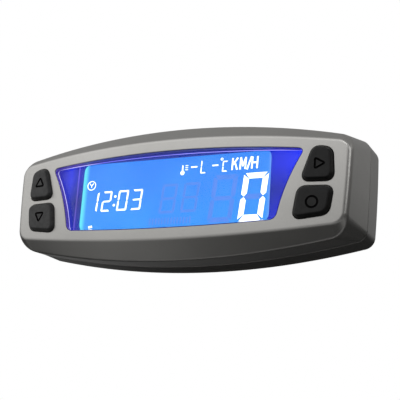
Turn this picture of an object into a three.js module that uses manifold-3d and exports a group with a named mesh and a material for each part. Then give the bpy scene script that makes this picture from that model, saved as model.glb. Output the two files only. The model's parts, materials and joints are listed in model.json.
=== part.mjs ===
// A bar-shaped digital instrument cluster for a motorcycle: a two-part case that
// carries a lens, a backlit segment display, a circuit board and four keys.
// Millimetres. +X is right as the rider sees it, +Z is up and the face looks along -Y.
// The origin is the centre of the flat mounting pad on the back.
import * as THREE from "three";
import { mergeVertices } from "three/addons/utils/BufferGeometryUtils.js";
import Module from "manifold-3d";

const wasm = await Module();
wasm.setup();

// ---- Driving dimensions ----------------------------------------------------------
const WIDTH = 137.4;
const HEIGHT = 50.5;
const PAD_HEIGHT = 2; // mounting pad, proud of the rear wall
const REAR_CASE_DEPTH = 11.9;
const FRONT_CASE_DEPTH = 23.9;
const BODY_DEPTH = FRONT_CASE_DEPTH + REAR_CASE_DEPTH;
const FACE_SAG = 4.2; // how far the convex face has fallen back at SAG_SPAN from the middle
const SAG_SPAN = 60;
const WALL = 2.2;
const FRONT_WALL = 1.8;
const GAP = 0.3; // running gap round moving and push-fit pieces
const FILM_GAP = 0.1; // gap between stacked flat pieces
const OVERRUN = 4.8; // how far a cutting body runs past the case

// Outlines of the face, of the crease behind its chamfer and of the parting plane. Each has an
// upper and a lower edge with its own bow, and its ends lean outwards towards the top.
const FACE_EDGE = { height: 18.7, sag: 3.4, corner: 4.2 };
const FACE_OUTLINE = { halfWidth: 66, lean: 0.0008, upper: FACE_EDGE, lower: FACE_EDGE };
const CREASE_OUTLINE = {
  halfWidth: 67.2,
  lean: 0.0008,
  upper: { height: HEIGHT / 2, sag: 6.4, corner: 7.3 },
  lower: { height: HEIGHT / 2, sag: 6, corner: 8 },
};
const PARTING_OUTLINE = {
  halfWidth: WIDTH / 2,
  lean: 0.0004,
  upper: { height: HEIGHT / 2, sag: 3.7, corner: 4.7 },
  lower: { height: 23.45, sag: 5.7, corner: 4.3 },
};
const SIDE_RADIUS = 500; // bow of the ends
const CHAMFER_SLOPE = 1.05; // depth per unit of outward run
const EDGE_ROUND = 1; // rounding of the face's edge and of the crease behind the chamfer
const REAR_EDGE = 1.5; // rounding of the rear edge
const PARTING_GAP = 0.4;
const SEAL = { outer: 0.75, inner: 1.55, depth: 1.2 }; // ring in the parting face, inset from the outline

// Window: a bowed trapezium with sides that flare towards the top.
const WINDOW = { halfHeight: 14.5, bow: 3.0, side: 45.5, lean: 5.65, flare: 1.9, corner: 2.6 };
const FLANGE = 1.5; // how far the lens's flange runs behind the case
const LENS_FLANGE_DEPTH = 2.4; // depth of the flange's front face behind the case's face
const LENS_DEPTH = 3.4;

// Display stack: each depth is measured back from the middle of the face.
const VIEW = { halfWidth: 38.4, top: 13.5, bottom: -12.7, corner: 3 };
const GLASS = { halfWidth: 40.5, halfHeight: 14.9 };
const LEDGE = 1.5; // the rear glass's contact ledge, past the front glass
const MASK_BACK = 6.3;
const MASK_WALL = 0.8; // thickness of the mask's ends, which follow the convex face
const FRONT_FILM = [6.4, 6.6];
const FRONT_GLASS = [6.7, 7.4];
const REAR_GLASS = [7.5, 8.2];
const REAR_FILM = [8.3, 8.5];
const LIGHT_GUIDE = [8.6, 12.1];
const REFLECTOR = [12.2, 12.4];
const BOARD = [16.5, 18.1];
const HOLDER = { halfWidth: 42, halfHeight: 17.2, corner: 1, sideWall: 1.1, wall: 0.7 };
const GUIDE = { halfWidth: 38.2, halfHeight: 14.2 };
const STRIP = { halfLength: 38, thickness: 1.6, front: 8.3 };
const LED = { x: 39.5, row: 6, width: 2, height: 4, front: 9.3 };

// Keys: corners of each key's top face, upper pair and lower pair, for the right-hand side.
const KEY_DRAFT = 0.8; // how far the base spreads past the top face
const KEY_RISE = 1.65; // height of the top face over the case's face
const KEY_LAND = 0.7; // straight part of the key's side over the case's face
const KEY_CORNER = 2.2;
const KEY_FLANGE = 0.9;
const KEY_SPLIT = -0.6; // height of the bar of case between the two keys of a pair
const KEY_TRAVEL = 0.5;
const PLUNGER_TRAVEL = 0.25;
const STEM_RADIUS = 2;
const SWITCH = { size: 6, depth: 3.4, plungerRadius: 1.75, plungerHeight: 1.5 };
const KEY_UPPER = {
  corners: [[51.2, 1.1], [60.9, 1.1], [60.3, 11.5], [54.9, 12.2]],
  stem: [56, 6.1],
};
const KEY_LOWER = {
  corners: [[48.7, -12.4], [59.6, -10.9], [60.8, -2.3], [50.2, -2.3]],
  stem: [55.2, -6.5],
};
const BOOT = { x0: 51.3, x1: 60, z0: -10.2, z1: 9.9, front: 9, wall: 0.6 }; // over a pair of switches
const STEM_GAP = KEY_TRAVEL - PLUNGER_TRAVEL + 0.1; // between a released key's stem and its switch

// Fasteners: places, and the bosses that take them.
const CASE_SCREWS = [[-60.8, 13], [60.8, 13], [-60.8, -13], [60.8, -13], [0, 20], [0, -19.5]];
const CORNER_BOSS = { radius: 2.8, front: 9.5, rib: 1.6, column: 3.6 };
const MIDDLE_BOSS = { radius: 2.1, front: 3, column: 3.2 };
const PILOT = { radius: 1.5, front: 13 };
const BOARD_SCREWS = [[-45.3, 16.4], [45.3, 16.4], [-45.3, -16.4], [45.3, -16.4]];
const BOARD_BOSS = { radius: 1.9, bore: 1.25, boreFront: 9, clearance: 1.3 };

// Back of the case: mounting pad with two threaded inserts, and the harness's gland.
const PAD = { halfWidth: 29, halfHeight: 7, corner: 3 };
const INSERT = { spacing: 40, bore: 2.5, radius: 3.3, waist: 2.9, hole: 3.6, boss: 5.4, depth: 5 };
const GLAND = { x: -13, z: -14.4, bore: 3.4, neck: 4.6, lip: 5.5, lipDepth: 1.4, tail: 3 };

// Board, and what stands on its back.
const BOARD_CORNERS = [[63, 6], [54, 16], [50, 17.2]];
const CHIP = { halfWidth: 8, halfHeight: 5, lift: 0.3, top: 2 };
const CHIP_LEGS = { count: 9, pitch: 1.6, width: 0.5, rise: 0.8, reach: 6.6 };
const CRYSTAL = { corners: [[13, -6], [17, -6], [17, 5], [13, 5]], corner: 1.9, height: 3.4 };
const CAPACITOR = { x: 32, z: 4, radius: 4, neck: 3.6, height: 9.7, step: 0.4 };
const REGULATOR = { x0: -33, x1: -23, z0: -4, body: 5, tab: 11, height: 4, tabHeight: 1 };
const HEADER = { halfWidth: 11, z0: -16, z1: -8, height: 8, wall: 1, floor: 1.2 };
const PINS = { count: 8, pitch: 2.3, width: 0.7, height: 6.5 };
const SOLDER_GAP = 0.2; // between the board and what stands on it

// Depth behind the face's middle, as a place along Y.
const FACE_Y = -PAD_HEIGHT - BODY_DEPTH;
const at = (depth) => FACE_Y + depth;
const PARTING_Y = at(FRONT_CASE_DEPTH);
const REAR_Y = -PAD_HEIGHT;

// ---- Helpers ---------------------------------------------------------------------
function solidOf(geometry) {
  const bare = geometry.index ? geometry.toNonIndexed() : geometry.clone();
  bare.deleteAttribute("normal");
  bare.deleteAttribute("uv");
  const merged = mergeVertices(bare, 1e-4);
  return new wasm.Manifold(
    new wasm.Mesh({
      numProp: 3,
      vertProperties: merged.attributes.position.array,
      triVerts: new Uint32Array(merged.index.array),
    }),
  );
}

function geometryOf(solid) {
  const mesh = solid.getMesh();
  const geometry = new THREE.BufferGeometry();
  geometry.setAttribute("position", new THREE.BufferAttribute(new Float32Array(mesh.vertProperties), 3));
  geometry.setIndex(new THREE.BufferAttribute(new Uint32Array(mesh.triVerts), 1));
  geometry.computeVertexNormals();
  return geometry;
}

const join = (first, ...rest) => rest.reduce((sum, next) => sum.add(next), first);
const cut = (first, ...rest) => rest.reduce((left, next) => left.subtract(next), first);

const faceFall = (x) => FACE_SAG * (x / SAG_SPAN) ** 2;

// Moves every vertex back by the fall of the convex face at its place.
function bent(geometry) {
  const position = geometry.attributes.position;
  for (let i = 0; i < position.count; i++) {
    position.setY(i, position.getY(i) + faceFall(position.getX(i)));
  }
  return geometry;
}

// An outline in the X-Z plane pushed along Y, from front to back, with optional holes.
function prism(points, front, back, { holes = [], bevel = {} } = {}) {
  const shape = new THREE.Shape(points);
  shape.holes = holes.map((hole) => new THREE.Path(hole));
  const options = { depth: back - front, bevelEnabled: false, ...bevel };
  const geometry = new THREE.ExtrudeGeometry(shape, options);
  return geometry.rotateX(Math.PI / 2).translate(0, back, 0);
}

function block(x0, x1, front, back, z0, z1) {
  return new THREE.BoxGeometry(x1 - x0, back - front, z1 - z0).translate(
    (x0 + x1) / 2,
    (front + back) / 2,
    (z0 + z1) / 2,
  );
}

function rod(x, z, radius, front, back, segments = 12) {
  const cylinder = new THREE.CylinderGeometry(radius, radius, back - front, segments);
  return cylinder.translate(x, (front + back) / 2, z);
}

// A solid of revolution about an axis along Y through (x, z). The profile is [radius, y] pairs.
function turned(x, z, profile, segments = 12) {
  const points = profile.map(([radius, y]) => new THREE.Vector2(radius, y));
  return new THREE.LatheGeometry(points, segments).translate(x, 0, z);
}

// Outline of a bowed bar: large arcs above, below and at the ends, and round corners that
// meet them without a kink. The lean widens it towards the top.
function barOutline({ halfWidth, lean, upper, lower }) {
  const top = halfBar(halfWidth, upper);
  const bottom = mirrored(halfBar(halfWidth, lower), 1, -1);
  const loop = [...top, ...bottom.slice(1, -1)];
  return loop.map((p) => new THREE.Vector2(p.x * (1 + lean * p.y), p.y));
}

// The half of the bar above its middle, from the right-hand end to the left-hand one.
function halfBar(halfWidth, { height, sag, corner }) {
  const topRadius = (SAG_SPAN ** 2 + sag ** 2) / (2 * sag);
  const topCentre = new THREE.Vector2(0, height - topRadius);
  const sideCentre = new THREE.Vector2(halfWidth - SIDE_RADIUS, 0);
  // The corner's centre is a known distance from the centre of each large arc.
  const fromTop = topRadius - corner;
  const fromSide = SIDE_RADIUS - corner;
  const spacing = topCentre.distanceTo(sideCentre);
  const along = (fromTop ** 2 - fromSide ** 2 + spacing ** 2) / (2 * spacing);
  const across = Math.sqrt(fromTop ** 2 - along ** 2);
  const unit = sideCentre.clone().sub(topCentre).normalize();
  const normal = new THREE.Vector2(unit.y, -unit.x);
  const centre = topCentre.clone().addScaledVector(unit, along).addScaledVector(normal, across);
  const sideAngle = Math.atan2(centre.y, centre.x - sideCentre.x);
  const topAngle = Math.atan2(centre.y - topCentre.y, centre.x);
  const arc = (middle, radius, from, to, steps) =>
    new THREE.ArcCurve(middle.x, middle.y, radius, from, to, false).getPoints(steps).slice(0, -1);
  const quarter = [
    ...arc(sideCentre, SIDE_RADIUS, 0, sideAngle, 2),
    ...arc(centre, corner, sideAngle, topAngle, 7),
    ...arc(topCentre, topRadius, topAngle, Math.PI / 2, 8),
  ];
  return [...quarter, new THREE.Vector2(0, height), ...mirrored(quarter, -1, 1)];
}

// The same points reflected and listed in the opposite order, which keeps a loop's turn.
function mirrored(points, sx, sy) {
  return points.map((p) => new THREE.Vector2(p.x * sx, p.y * sy)).reverse();
}

// A loop moved outwards by a distance, or inwards if it is negative.
function grown(points, distance) {
  const count = points.length;
  return points.map((p, i) => {
    const before = p.clone().sub(points[(i + count - 1) % count]).normalize();
    const after = points[(i + 1) % count].clone().sub(p).normalize();
    const normal = new THREE.Vector2(before.y + after.y, -before.x - after.x).normalize();
    const spread = normal.x * before.y - normal.y * before.x;
    return p.clone().addScaledVector(normal, distance / spread);
  });
}

// A loop of edges, each a list of points, with every corner between two edges rounded.
function filleted(edges, radius, steps = 4) {
  const loop = [];
  edges.forEach((edge, i) => {
    const next = edges[(i + 1) % edges.length];
    const corner = edge[edge.length - 1];
    const kept = edge.filter((p) => p.distanceTo(edge[0]) >= radius && p.distanceTo(corner) >= radius);
    const back = corner.clone().sub(edge[edge.length - 2]).normalize();
    const ahead = next[1].clone().sub(next[0]).normalize();
    const from = corner.clone().addScaledVector(back, -radius);
    const to = corner.clone().addScaledVector(ahead, radius);
    loop.push(...kept, ...new THREE.QuadraticBezierCurve(from, corner, to).getPoints(steps));
  });
  return loop;
}

function roundedPolygon(corners, radius, steps = 4) {
  const points = corners.map(([x, z]) => new THREE.Vector2(x, z));
  const edges = points.map((p, i) => [p, points[(i + 1) % points.length]]);
  return filleted(edges, radius, steps);
}

function rectangle(halfWidth, halfHeight, corner = 0) {
  const corners = [
    [-halfWidth, -halfHeight],
    [halfWidth, -halfHeight],
    [halfWidth, halfHeight],
    [-halfWidth, halfHeight],
  ];
  return corner ? roundedPolygon(corners, corner) : corners.map(([x, z]) => new THREE.Vector2(x, z));
}

// ---- Outlines --------------------------------------------------------------------
const faceLoop = barOutline(FACE_OUTLINE);
const creaseLoop = barOutline(CREASE_OUTLINE);
const partingLoop = barOutline(PARTING_OUTLINE);

function windowOutline() {
  const { halfHeight, bow, side, lean, flare, corner } = WINDOW;
  const sideAt = (z) => side + (lean * z) / 15 + flare * (z / 15) ** 2;
  const bowAt = (x) => halfHeight - bow * (x / SAG_SPAN) ** 2;
  const topCorner = sideAt(bowAt(side + lean));
  const bottomCorner = sideAt(-bowAt(side - lean));
  const steps = 8;
  const sample = (count, make) => Array.from({ length: count + 1 }, (_, i) => make(i / count));
  const across = (from, to, sign) =>
    sample(steps, (t) => {
      const x = from + (to - from) * t;
      return new THREE.Vector2(x, sign * bowAt(x));
    });
  const up = (sign) =>
    sample(3, (t) => {
      const z = -bowAt(bottomCorner) + (bowAt(bottomCorner) + bowAt(topCorner)) * t;
      return new THREE.Vector2(sign * sideAt(z), z);
    });
  return filleted(
    [across(-bottomCorner, bottomCorner, -1), up(1), across(topCorner, -topCorner, 1), up(-1).reverse()],
    corner,
    3,
  );
}
const windowLoop = windowOutline();

const keyTop = (key, side) => {
  const corners = key.corners.map(([x, z]) => [x * side, z]);
  return roundedPolygon(side > 0 ? corners : corners.reverse(), KEY_CORNER, 3);
};
const keyBase = (key, side) => grown(keyTop(key, side), KEY_DRAFT);

const KEYS = [
  { name: "up", key: KEY_UPPER, side: -1 },
  { name: "down", key: KEY_LOWER, side: -1 },
  { name: "right", key: KEY_UPPER, side: 1 },
  { name: "set", key: KEY_LOWER, side: 1 },
];

// ---- Case ------------------------------------------------------------------------
// The space behind the convex face, moved back by an inset.
function behindFace(inset) {
  const reach = WIDTH / 2 + OVERRUN;
  const steps = 20;
  const points = Array.from({ length: steps + 1 }, (_, i) => {
    const x = -reach + (2 * reach * i) / steps;
    return new THREE.Vector2(x, at(inset) + faceFall(x));
  });
  points.push(new THREE.Vector2(reach, 10), new THREE.Vector2(-reach, 10));
  const options = { depth: HEIGHT + 2 * OVERRUN, bevelEnabled: false };
  const geometry = new THREE.ExtrudeGeometry(new THREE.Shape(points), options);
  return geometry.translate(0, 0, -HEIGHT / 2 - OVERRUN);
}

// A closed body through rings of matching points, from the face to the back. Each ring starts
// at the right-hand end and has as many points above as below, so caps are ladders of strips.
function loft(rings) {
  const count = rings[0].length;
  const last = (rings.length - 1) * count;
  const index = [];
  for (let ring = 0; ring < rings.length - 1; ring++) {
    for (let i = 0; i < count; i++) {
      const near = ring * count + i;
      const nearNext = ring * count + ((i + 1) % count);
      index.push(near, nearNext + count, nearNext, near, near + count, nearNext + count);
    }
  }
  for (let i = 0; i < count / 2; i++) {
    const upper = [i, i + 1];
    const lower = [(count - i) % count, count - i - 1];
    if (i > 0) {
      index.push(lower[0], upper[0], upper[1]);
      index.push(last + upper[1], last + upper[0], last + lower[0]);
    }
    if (i < count / 2 - 1) {
      index.push(lower[0], upper[1], lower[1]);
      index.push(last + lower[1], last + upper[1], last + lower[0]);
    }
  }
  const geometry = new THREE.BufferGeometry().setFromPoints(rings.flat());
  return geometry.setIndex(index);
}

// The front case's outer body, or the space inside its walls: a face that follows the
// convex front, a chamfer of constant slope, and a side wall that drafts out to the parting
// outline. Both edges of the chamfer are rounded where a rounding is given.
function frontCaseBody(back, { faceInset = 0, sideInset = 0, depth = 0, rounding = 0 } = {}) {
  const face = grown(faceLoop, -faceInset);
  const side = grown(creaseLoop, -sideInset);
  const parting = grown(partingLoop, -sideInset);
  const rim = grown(face, -rounding);
  const columns = face.map((p, i) => {
    const edge = new THREE.Vector3(p.x, at(depth) + faceFall(p.x), p.y);
    const run = p.distanceTo(side[i]);
    const crease = new THREE.Vector3(side[i].x, edge.y + run * CHAMFER_SLOPE, side[i].y);
    const end = new THREE.Vector3(parting[i].x, back, parting[i].y);
    if (!rounding) return [edge, crease, end];
    const slope = crease.clone().sub(edge).normalize();
    const start = new THREE.Vector3(rim[i].x, at(depth) + faceFall(rim[i].x), rim[i].y);
    const onSlope = (from, distance) => from.clone().addScaledVector(slope, distance);
    const wall = end.clone().sub(crease).normalize();
    const onSide = crease.clone().addScaledVector(wall, rounding);
    const front = new THREE.QuadraticBezierCurve3(start, edge, onSlope(edge, rounding));
    const rear = new THREE.QuadraticBezierCurve3(onSlope(crease, -rounding), crease, onSide);
    return [...front.getPoints(3), ...rear.getPoints(2), end];
  });
  const rings = columns[0].map((_, level) => columns.map((column) => column[level]));
  return solidOf(loft(rings));
}

function frontCase() {
  const back = PARTING_Y - PARTING_GAP / 2;
  const hollow = { faceInset: 0.7, sideInset: WALL, depth: FRONT_WALL };
  const middle = { faceInset: 0.35, sideInset: WALL / 2, depth: FRONT_WALL / 2 };
  const inside = frontCaseBody(back, middle);
  const outside = frontCaseBody(back, { rounding: EDGE_ROUND });
  let shell = cut(outside, frontCaseBody(back + 5, hollow));
  const bosses = CASE_SCREWS.map(([x, z]) => {
    if (x === 0) return solidOf(rod(x, z, MIDDLE_BOSS.radius, at(MIDDLE_BOSS.front), back));
    const { radius, front, rib } = CORNER_BOSS;
    const boss = solidOf(rod(x, z, radius, at(front), back));
    const [left, right] = [x, x + Math.sign(x) * WALL * 3].sort((a, b) => a - b);
    return join(boss, solidOf(block(left, right, at(front), back, z - rib / 2, z + rib / 2)));
  });
  BOARD_SCREWS.forEach(([x, z]) => {
    bosses.push(solidOf(rod(x, z, BOARD_BOSS.radius, at(FRONT_WALL), at(BOARD[0] - FILM_GAP))));
  });
  shell = join(shell, ...bosses.map((boss) => boss.intersect(inside)));
  const pilots = CASE_SCREWS.map(([x, z]) => solidOf(rod(x, z, PILOT.radius, at(PILOT.front), back + 1, 10)));
  BOARD_SCREWS.forEach(([x, z]) => {
    pilots.push(solidOf(rod(x, z, BOARD_BOSS.bore, at(BOARD_BOSS.boreFront), at(BOARD[0]), 8)));
  });
  const openings = [windowLoop, ...KEYS.map(({ key, side }) => grown(keyBase(key, side), GAP))];
  const cutters = openings.map((loop) => solidOf(prism(loop, at(-5), at(LENS_FLANGE_DEPTH + 6))));
  return cut(shell, ...cutters, ...pilots);
}

// Rear case, or the space inside its walls, with a round rear edge.
function rearBody(inset, front, back) {
  const rounding = Math.max(REAR_EDGE - inset, 1);
  const bevel = {
    bevelEnabled: true,
    bevelSize: rounding,
    bevelThickness: rounding,
    bevelOffset: -rounding,
    bevelSegments: inset ? 1 : 2,
  };
  const body = solidOf(prism(grown(partingLoop, -inset), front - 5, back - rounding, { bevel }));
  return body.intersect(solidOf(block(-WIDTH, WIDTH, front, back + 1, -WIDTH, WIDTH)));
}

function screwColumn([x, z]) {
  const { column } = x === 0 ? MIDDLE_BOSS : CORNER_BOSS;
  return solidOf(rod(x, z, column, PARTING_Y + PARTING_GAP / 2, REAR_Y - 1));
}

// One of something at each threaded insert's place.
const atInserts = (make) => [-1, 1].map((side) => make((side * INSERT.spacing) / 2));

function rearCase() {
  const front = PARTING_Y + PARTING_GAP / 2;
  const outer = rearBody(0, front, REAR_Y);
  const cavity = rearBody(WALL + 0.4, front - 1, REAR_Y - WALL);
  const within = rearBody(WALL / 2, front, REAR_Y - WALL / 2);
  const columns = CASE_SCREWS.map((place) => screwColumn(place).intersect(within));
  const pad = solidOf(prism(rectangle(PAD.halfWidth, PAD.halfHeight, PAD.corner), REAR_Y - 1, 0));
  const insertBosses = atInserts((x) =>
    solidOf(rod(x, 0, INSERT.boss, REAR_Y - INSERT.depth - 1, REAR_Y - 1)),
  );
  const body = join(cut(outer, cavity), pad, ...columns, ...insertBosses);
  const holes = CASE_SCREWS.flatMap(([x, z]) => [
    solidOf(rod(x, z, PILOT.radius, front - 1, REAR_Y, 10)),
    solidOf(rod(x, z, CASE_SCREW.headRadius + GAP, CASE_SCREW.seat - 0.2, REAR_Y + 1, 16)),
  ]);
  const inserts = atInserts((x) => solidOf(rod(x, 0, INSERT.hole, REAR_Y - INSERT.depth, 1, 20)));
  const gland = solidOf(rod(GLAND.x, GLAND.z, GLAND.neck + GAP / 2, REAR_Y - 8, 1, 16));
  const groove = solidOf(
    prism(grown(partingLoop, -SEAL.outer + 0.15), front - 1, front + SEAL.depth, {
      holes: [grown(partingLoop, -SEAL.inner - 0.15)],
    }),
  );
  return cut(body, ...holes, ...inserts, gland, groove);
}

// The silicone ring in the groove of the parting face.
function caseSeal() {
  const back = PARTING_Y + PARTING_GAP / 2 + SEAL.depth - FILM_GAP;
  const holes = [grown(partingLoop, -SEAL.inner)];
  return prism(grown(partingLoop, -SEAL.outer), PARTING_Y - FILM_GAP, back, { holes });
}

// ---- Fasteners and inserts -------------------------------------------------------
// A pan-head cross-recess screw whose head lies to the back and whose shank runs forward.
function screw([x, z], { tip, seat, shank, headRadius, headDepth }) {
  const top = seat + headDepth;
  const body = turned(
    x,
    z,
    [
      [0, tip],
      [shank, tip + shank],
      [shank, seat],
      [headRadius, seat],
      [headRadius, seat + headDepth * 0.6],
      [headRadius * 0.72, top],
      [0, top],
    ],
    10,
  );
  const arm = headRadius * 0.6;
  const slot = headRadius * 0.16;
  const floor = top - headDepth * 0.6;
  const across = block(x - arm, x + arm, floor, top + 1, z - slot, z + slot);
  const down = block(x - slot, x + slot, floor, top + 1, z - arm, z + arm);
  return cut(solidOf(body), solidOf(across), solidOf(down));
}

const CASE_SCREW = { tip: at(14), seat: REAR_Y - 3.8, shank: 1.25, headRadius: 2.1, headDepth: 2 };
const BOARD_SCREW = { tip: at(10), seat: at(BOARD[1] + FILM_GAP), shank: 1, headRadius: 2.1, headDepth: 1.5 };

// A knurled brass insert, shown as a sleeve with a waist.
function mountInsert(side) {
  const { bore, radius, waist, depth, spacing } = INSERT;
  const front = REAR_Y - depth + GAP;
  const back = -0.2;
  const middle = (front + back) / 2;
  return turned(
    (side * spacing) / 2,
    0,
    [
      [bore, front],
      [radius, front],
      [radius, middle - 0.6],
      [waist, middle - 0.4],
      [waist, middle + 0.4],
      [radius, middle + 0.6],
      [radius, back],
      [bore, back],
      [bore, front],
    ],
    20,
  );
}

function cableGland() {
  const { bore, neck, lip, lipDepth, tail } = GLAND;
  const wallBack = REAR_Y + 0.1;
  const wallFront = REAR_Y - WALL - 0.1;
  return turned(
    GLAND.x,
    GLAND.z,
    [
      [bore, wallFront - tail],
      [neck, wallFront - tail],
      [lip - 0.4, wallFront - 0.8],
      [lip - 0.4, wallFront],
      [neck, wallFront],
      [neck, wallBack],
      [lip, wallBack],
      [lip, wallBack + lipDepth * 0.5],
      [lip - 0.9, wallBack + lipDepth],
      [bore, wallBack + lipDepth],
      [bore, wallFront - tail],
    ],
    16,
  );
}

// ---- Lens and display ------------------------------------------------------------
function lens() {
  const plug = solidOf(bentSlab(grown(windowLoop, -GAP / 2), 0, LENS_DEPTH));
  const flange = solidOf(bentSlab(grown(windowLoop, FLANGE), LENS_FLANGE_DEPTH, LENS_DEPTH));
  return join(plug, flange);
}

// A slab of an outline between two surfaces that follow the convex face.
function bentSlab(loop, front, back, holes = []) {
  const body = solidOf(prism(loop, at(-5), at(30), { holes }));
  const kept = body.intersect(solidOf(behindFace(front))).subtract(solidOf(behindFace(back)));
  return geometryOf(kept);
}

function lensSeal() {
  return bentSlab(grown(windowLoop, FLANGE - 0.1), FRONT_WALL + FILM_GAP, LENS_FLANGE_DEPTH - FILM_GAP, [
    grown(windowLoop, 0.35),
  ]);
}

// The frame between the lens and the display: flat behind the lens's middle, and as thin as
// its wall at the ends.
function displayMask() {
  const front = LENS_DEPTH + FILM_GAP;
  const loop = grown(windowLoop, FLANGE - 0.2);
  const flat = solidOf(prism(loop, at(0), at(MASK_BACK))).intersect(solidOf(behindFace(front)));
  const ends = solidOf(bentSlab(loop, front, front + MASK_WALL));
  const { halfWidth, top, bottom, corner } = VIEW;
  const view = [[-halfWidth, bottom], [halfWidth, bottom], [halfWidth, top], [-halfWidth, top]];
  const opening = prism(roundedPolygon(view, corner), at(-1), at(MASK_BACK + 1));
  return cut(join(flat, ends), solidOf(opening));
}

const plate = (halfWidth, halfHeight, [front, back]) =>
  block(-halfWidth, halfWidth, at(front), at(back), -halfHeight, halfHeight);

function displayHolder() {
  const { halfWidth, halfHeight, corner, sideWall, wall } = HOLDER;
  const holes = [rectangle(halfWidth - sideWall, halfHeight - wall)];
  const back = BOARD[0] - FILM_GAP;
  return prism(rectangle(halfWidth, halfHeight, corner), at(MASK_BACK + FILM_GAP), at(back), { holes });
}

// A rubber strip that presses on the rear glass's ledge, above or below.
function contactStrip(side) {
  const near = side * (GLASS.halfHeight - 0.3);
  const far = near + side * STRIP.thickness;
  const back = at(BOARD[0] - FILM_GAP);
  const { halfLength, front } = STRIP;
  return block(-halfLength, halfLength, at(front), back, Math.min(near, far), Math.max(near, far));
}

function backlightLed(side, row) {
  const led = plate(LED.width / 2, LED.height / 2, [LED.front, BOARD[0] - FILM_GAP]);
  return led.translate(side * LED.x, 0, row * LED.row);
}

// ---- Board and what is on it -----------------------------------------------------
function mainBoard() {
  const quarter = BOARD_CORNERS.map(([x, z]) => new THREE.Vector2(x, z));
  const upper = [...quarter, ...mirrored(quarter, -1, 1)];
  const board = solidOf(prism([...upper, ...mirrored(upper, 1, -1)], at(BOARD[0]), at(BOARD[1])));
  const holes = BOARD_SCREWS.map(([x, z]) => solidOf(rod(x, z, BOARD_BOSS.clearance, at(10), at(25), 10)));
  return cut(board, ...holes);
}

// Places along X for equal pieces in a row, centred on the middle.
const spaced = (count, pitch) => Array.from({ length: count }, (_, i) => (i - (count - 1) / 2) * pitch);

// A chip with a row of legs along both long sides, on the back of the board.
function microcontroller() {
  const foot = at(BOARD[1] + FILM_GAP);
  const { halfWidth, halfHeight, lift, top } = CHIP;
  const chip = solidOf(block(-halfWidth, halfWidth, foot + lift, foot + top, -halfHeight, halfHeight));
  const { count, pitch, width, rise, reach } = CHIP_LEGS;
  const legs = spaced(count, pitch).map((x) =>
    solidOf(block(x - width / 2, x + width / 2, foot, foot + rise, -reach, reach)),
  );
  return join(chip, ...legs);
}

function crystal() {
  const foot = at(BOARD[1] + SOLDER_GAP);
  return prism(roundedPolygon(CRYSTAL.corners, CRYSTAL.corner), foot, foot + CRYSTAL.height);
}

// A can with a crimped neck near the board.
function capacitor() {
  const { x, z, radius, neck, height, step } = CAPACITOR;
  const foot = at(BOARD[1] + SOLDER_GAP);
  const crimp = foot + 2 * step;
  return turned(x, z, [
    [0, foot],
    [radius, foot],
    [radius, crimp],
    [neck, crimp + step],
    [radius, crimp + 2 * step],
    [radius, foot + height - step],
    [neck, foot + height],
    [0, foot + height],
  ]);
}

function regulator() {
  const { x0, x1, z0, body, tab, height, tabHeight } = REGULATOR;
  const foot = at(BOARD[1] + SOLDER_GAP);
  return join(
    solidOf(block(x0, x1, foot, foot + tabHeight, z0, tab)),
    solidOf(block(x0, x1, foot, foot + height, z0, body)),
  );
}

// An open-ended wire header that takes the harness's board plug.
function harnessHeader() {
  const { halfWidth, z0, z1, height, wall, floor } = HEADER;
  const foot = at(BOARD[1] + SOLDER_GAP);
  const shroud = solidOf(block(-halfWidth, halfWidth, foot, foot + height, z0, z1));
  const inner = halfWidth - wall;
  const socket = solidOf(block(-inner, inner, foot + floor, foot + height + 1, z0 + wall, z1 - wall));
  const middle = (z0 + z1) / 2;
  const half = PINS.width / 2;
  const pins = spaced(PINS.count, PINS.pitch).map((x) =>
    solidOf(block(x - half, x + half, foot + floor / 2, foot + PINS.height, middle - half, middle + half)),
  );
  return join(cut(shroud, socket), ...pins);
}

// ---- Keys and switches -----------------------------------------------------------
const switchDepth = BOARD[0] - FILM_GAP - SWITCH.depth;
const plungerTop = switchDepth - SWITCH.plungerHeight;
const stemEnd = plungerTop - STEM_GAP;

function keyCap({ key, side }) {
  const flangeFront = FRONT_WALL + 0.15;
  const flangeBack = flangeFront + 1.15;
  const bevelRise = KEY_RISE - KEY_LAND;
  const bevel = {
    bevelEnabled: true,
    bevelSize: KEY_DRAFT,
    bevelThickness: bevelRise,
    bevelOffset: -KEY_DRAFT,
    bevelSegments: 2,
  };
  const loop = keyBase(key, side);
  const cap = solidOf(bent(prism(loop, at(-KEY_LAND), at(flangeBack - bevelRise), { bevel })));
  const [x, z] = key.stem;
  // The flange stops short of the one on the pair's other key.
  const own = z > KEY_SPLIT ? [KEY_SPLIT + GAP / 2, HEIGHT] : [-HEIGHT, KEY_SPLIT - GAP / 2];
  const half = solidOf(block(-WIDTH, WIDTH, FACE_Y - 5, 0, ...own));
  const flange = solidOf(bentSlab(grown(loop, KEY_FLANGE), flangeFront, flangeBack)).intersect(half);
  const stem = solidOf(rod(x * side, z, STEM_RADIUS, at(flangeBack + 1.5), at(stemEnd), 16));
  return join(cap, flange, stem);
}

// A silicone boot over the two switches of one side, open towards the board.
function keypadBoot(side) {
  const { x0, x1, z0, z1, front, wall } = BOOT;
  const outline = (inset) => {
    const lower = [[x0 + inset, z0 + inset], [x1 - inset, z0 + inset]];
    const upper = [[x1 - inset, z1 - inset], [x0 + inset, z1 - inset]];
    const loop = [...lower, ...upper].map(([x, z]) => [x * side, z]);
    return roundedPolygon(side > 0 ? loop : loop.reverse(), 1 - 1.2 * inset, 2);
  };
  const body = solidOf(prism(outline(0), at(front), at(BOARD[0] - FILM_GAP)));
  const hollow = solidOf(prism(outline(wall), at(front + 1), at(BOARD[0] + 1)));
  const holes = [KEY_UPPER, KEY_LOWER].map(({ stem: [x, z] }) =>
    solidOf(rod(x * side, z, STEM_RADIUS + 0.4, at(front - 1), at(front + 2), 16)),
  );
  return cut(body, hollow, ...holes);
}

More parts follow.
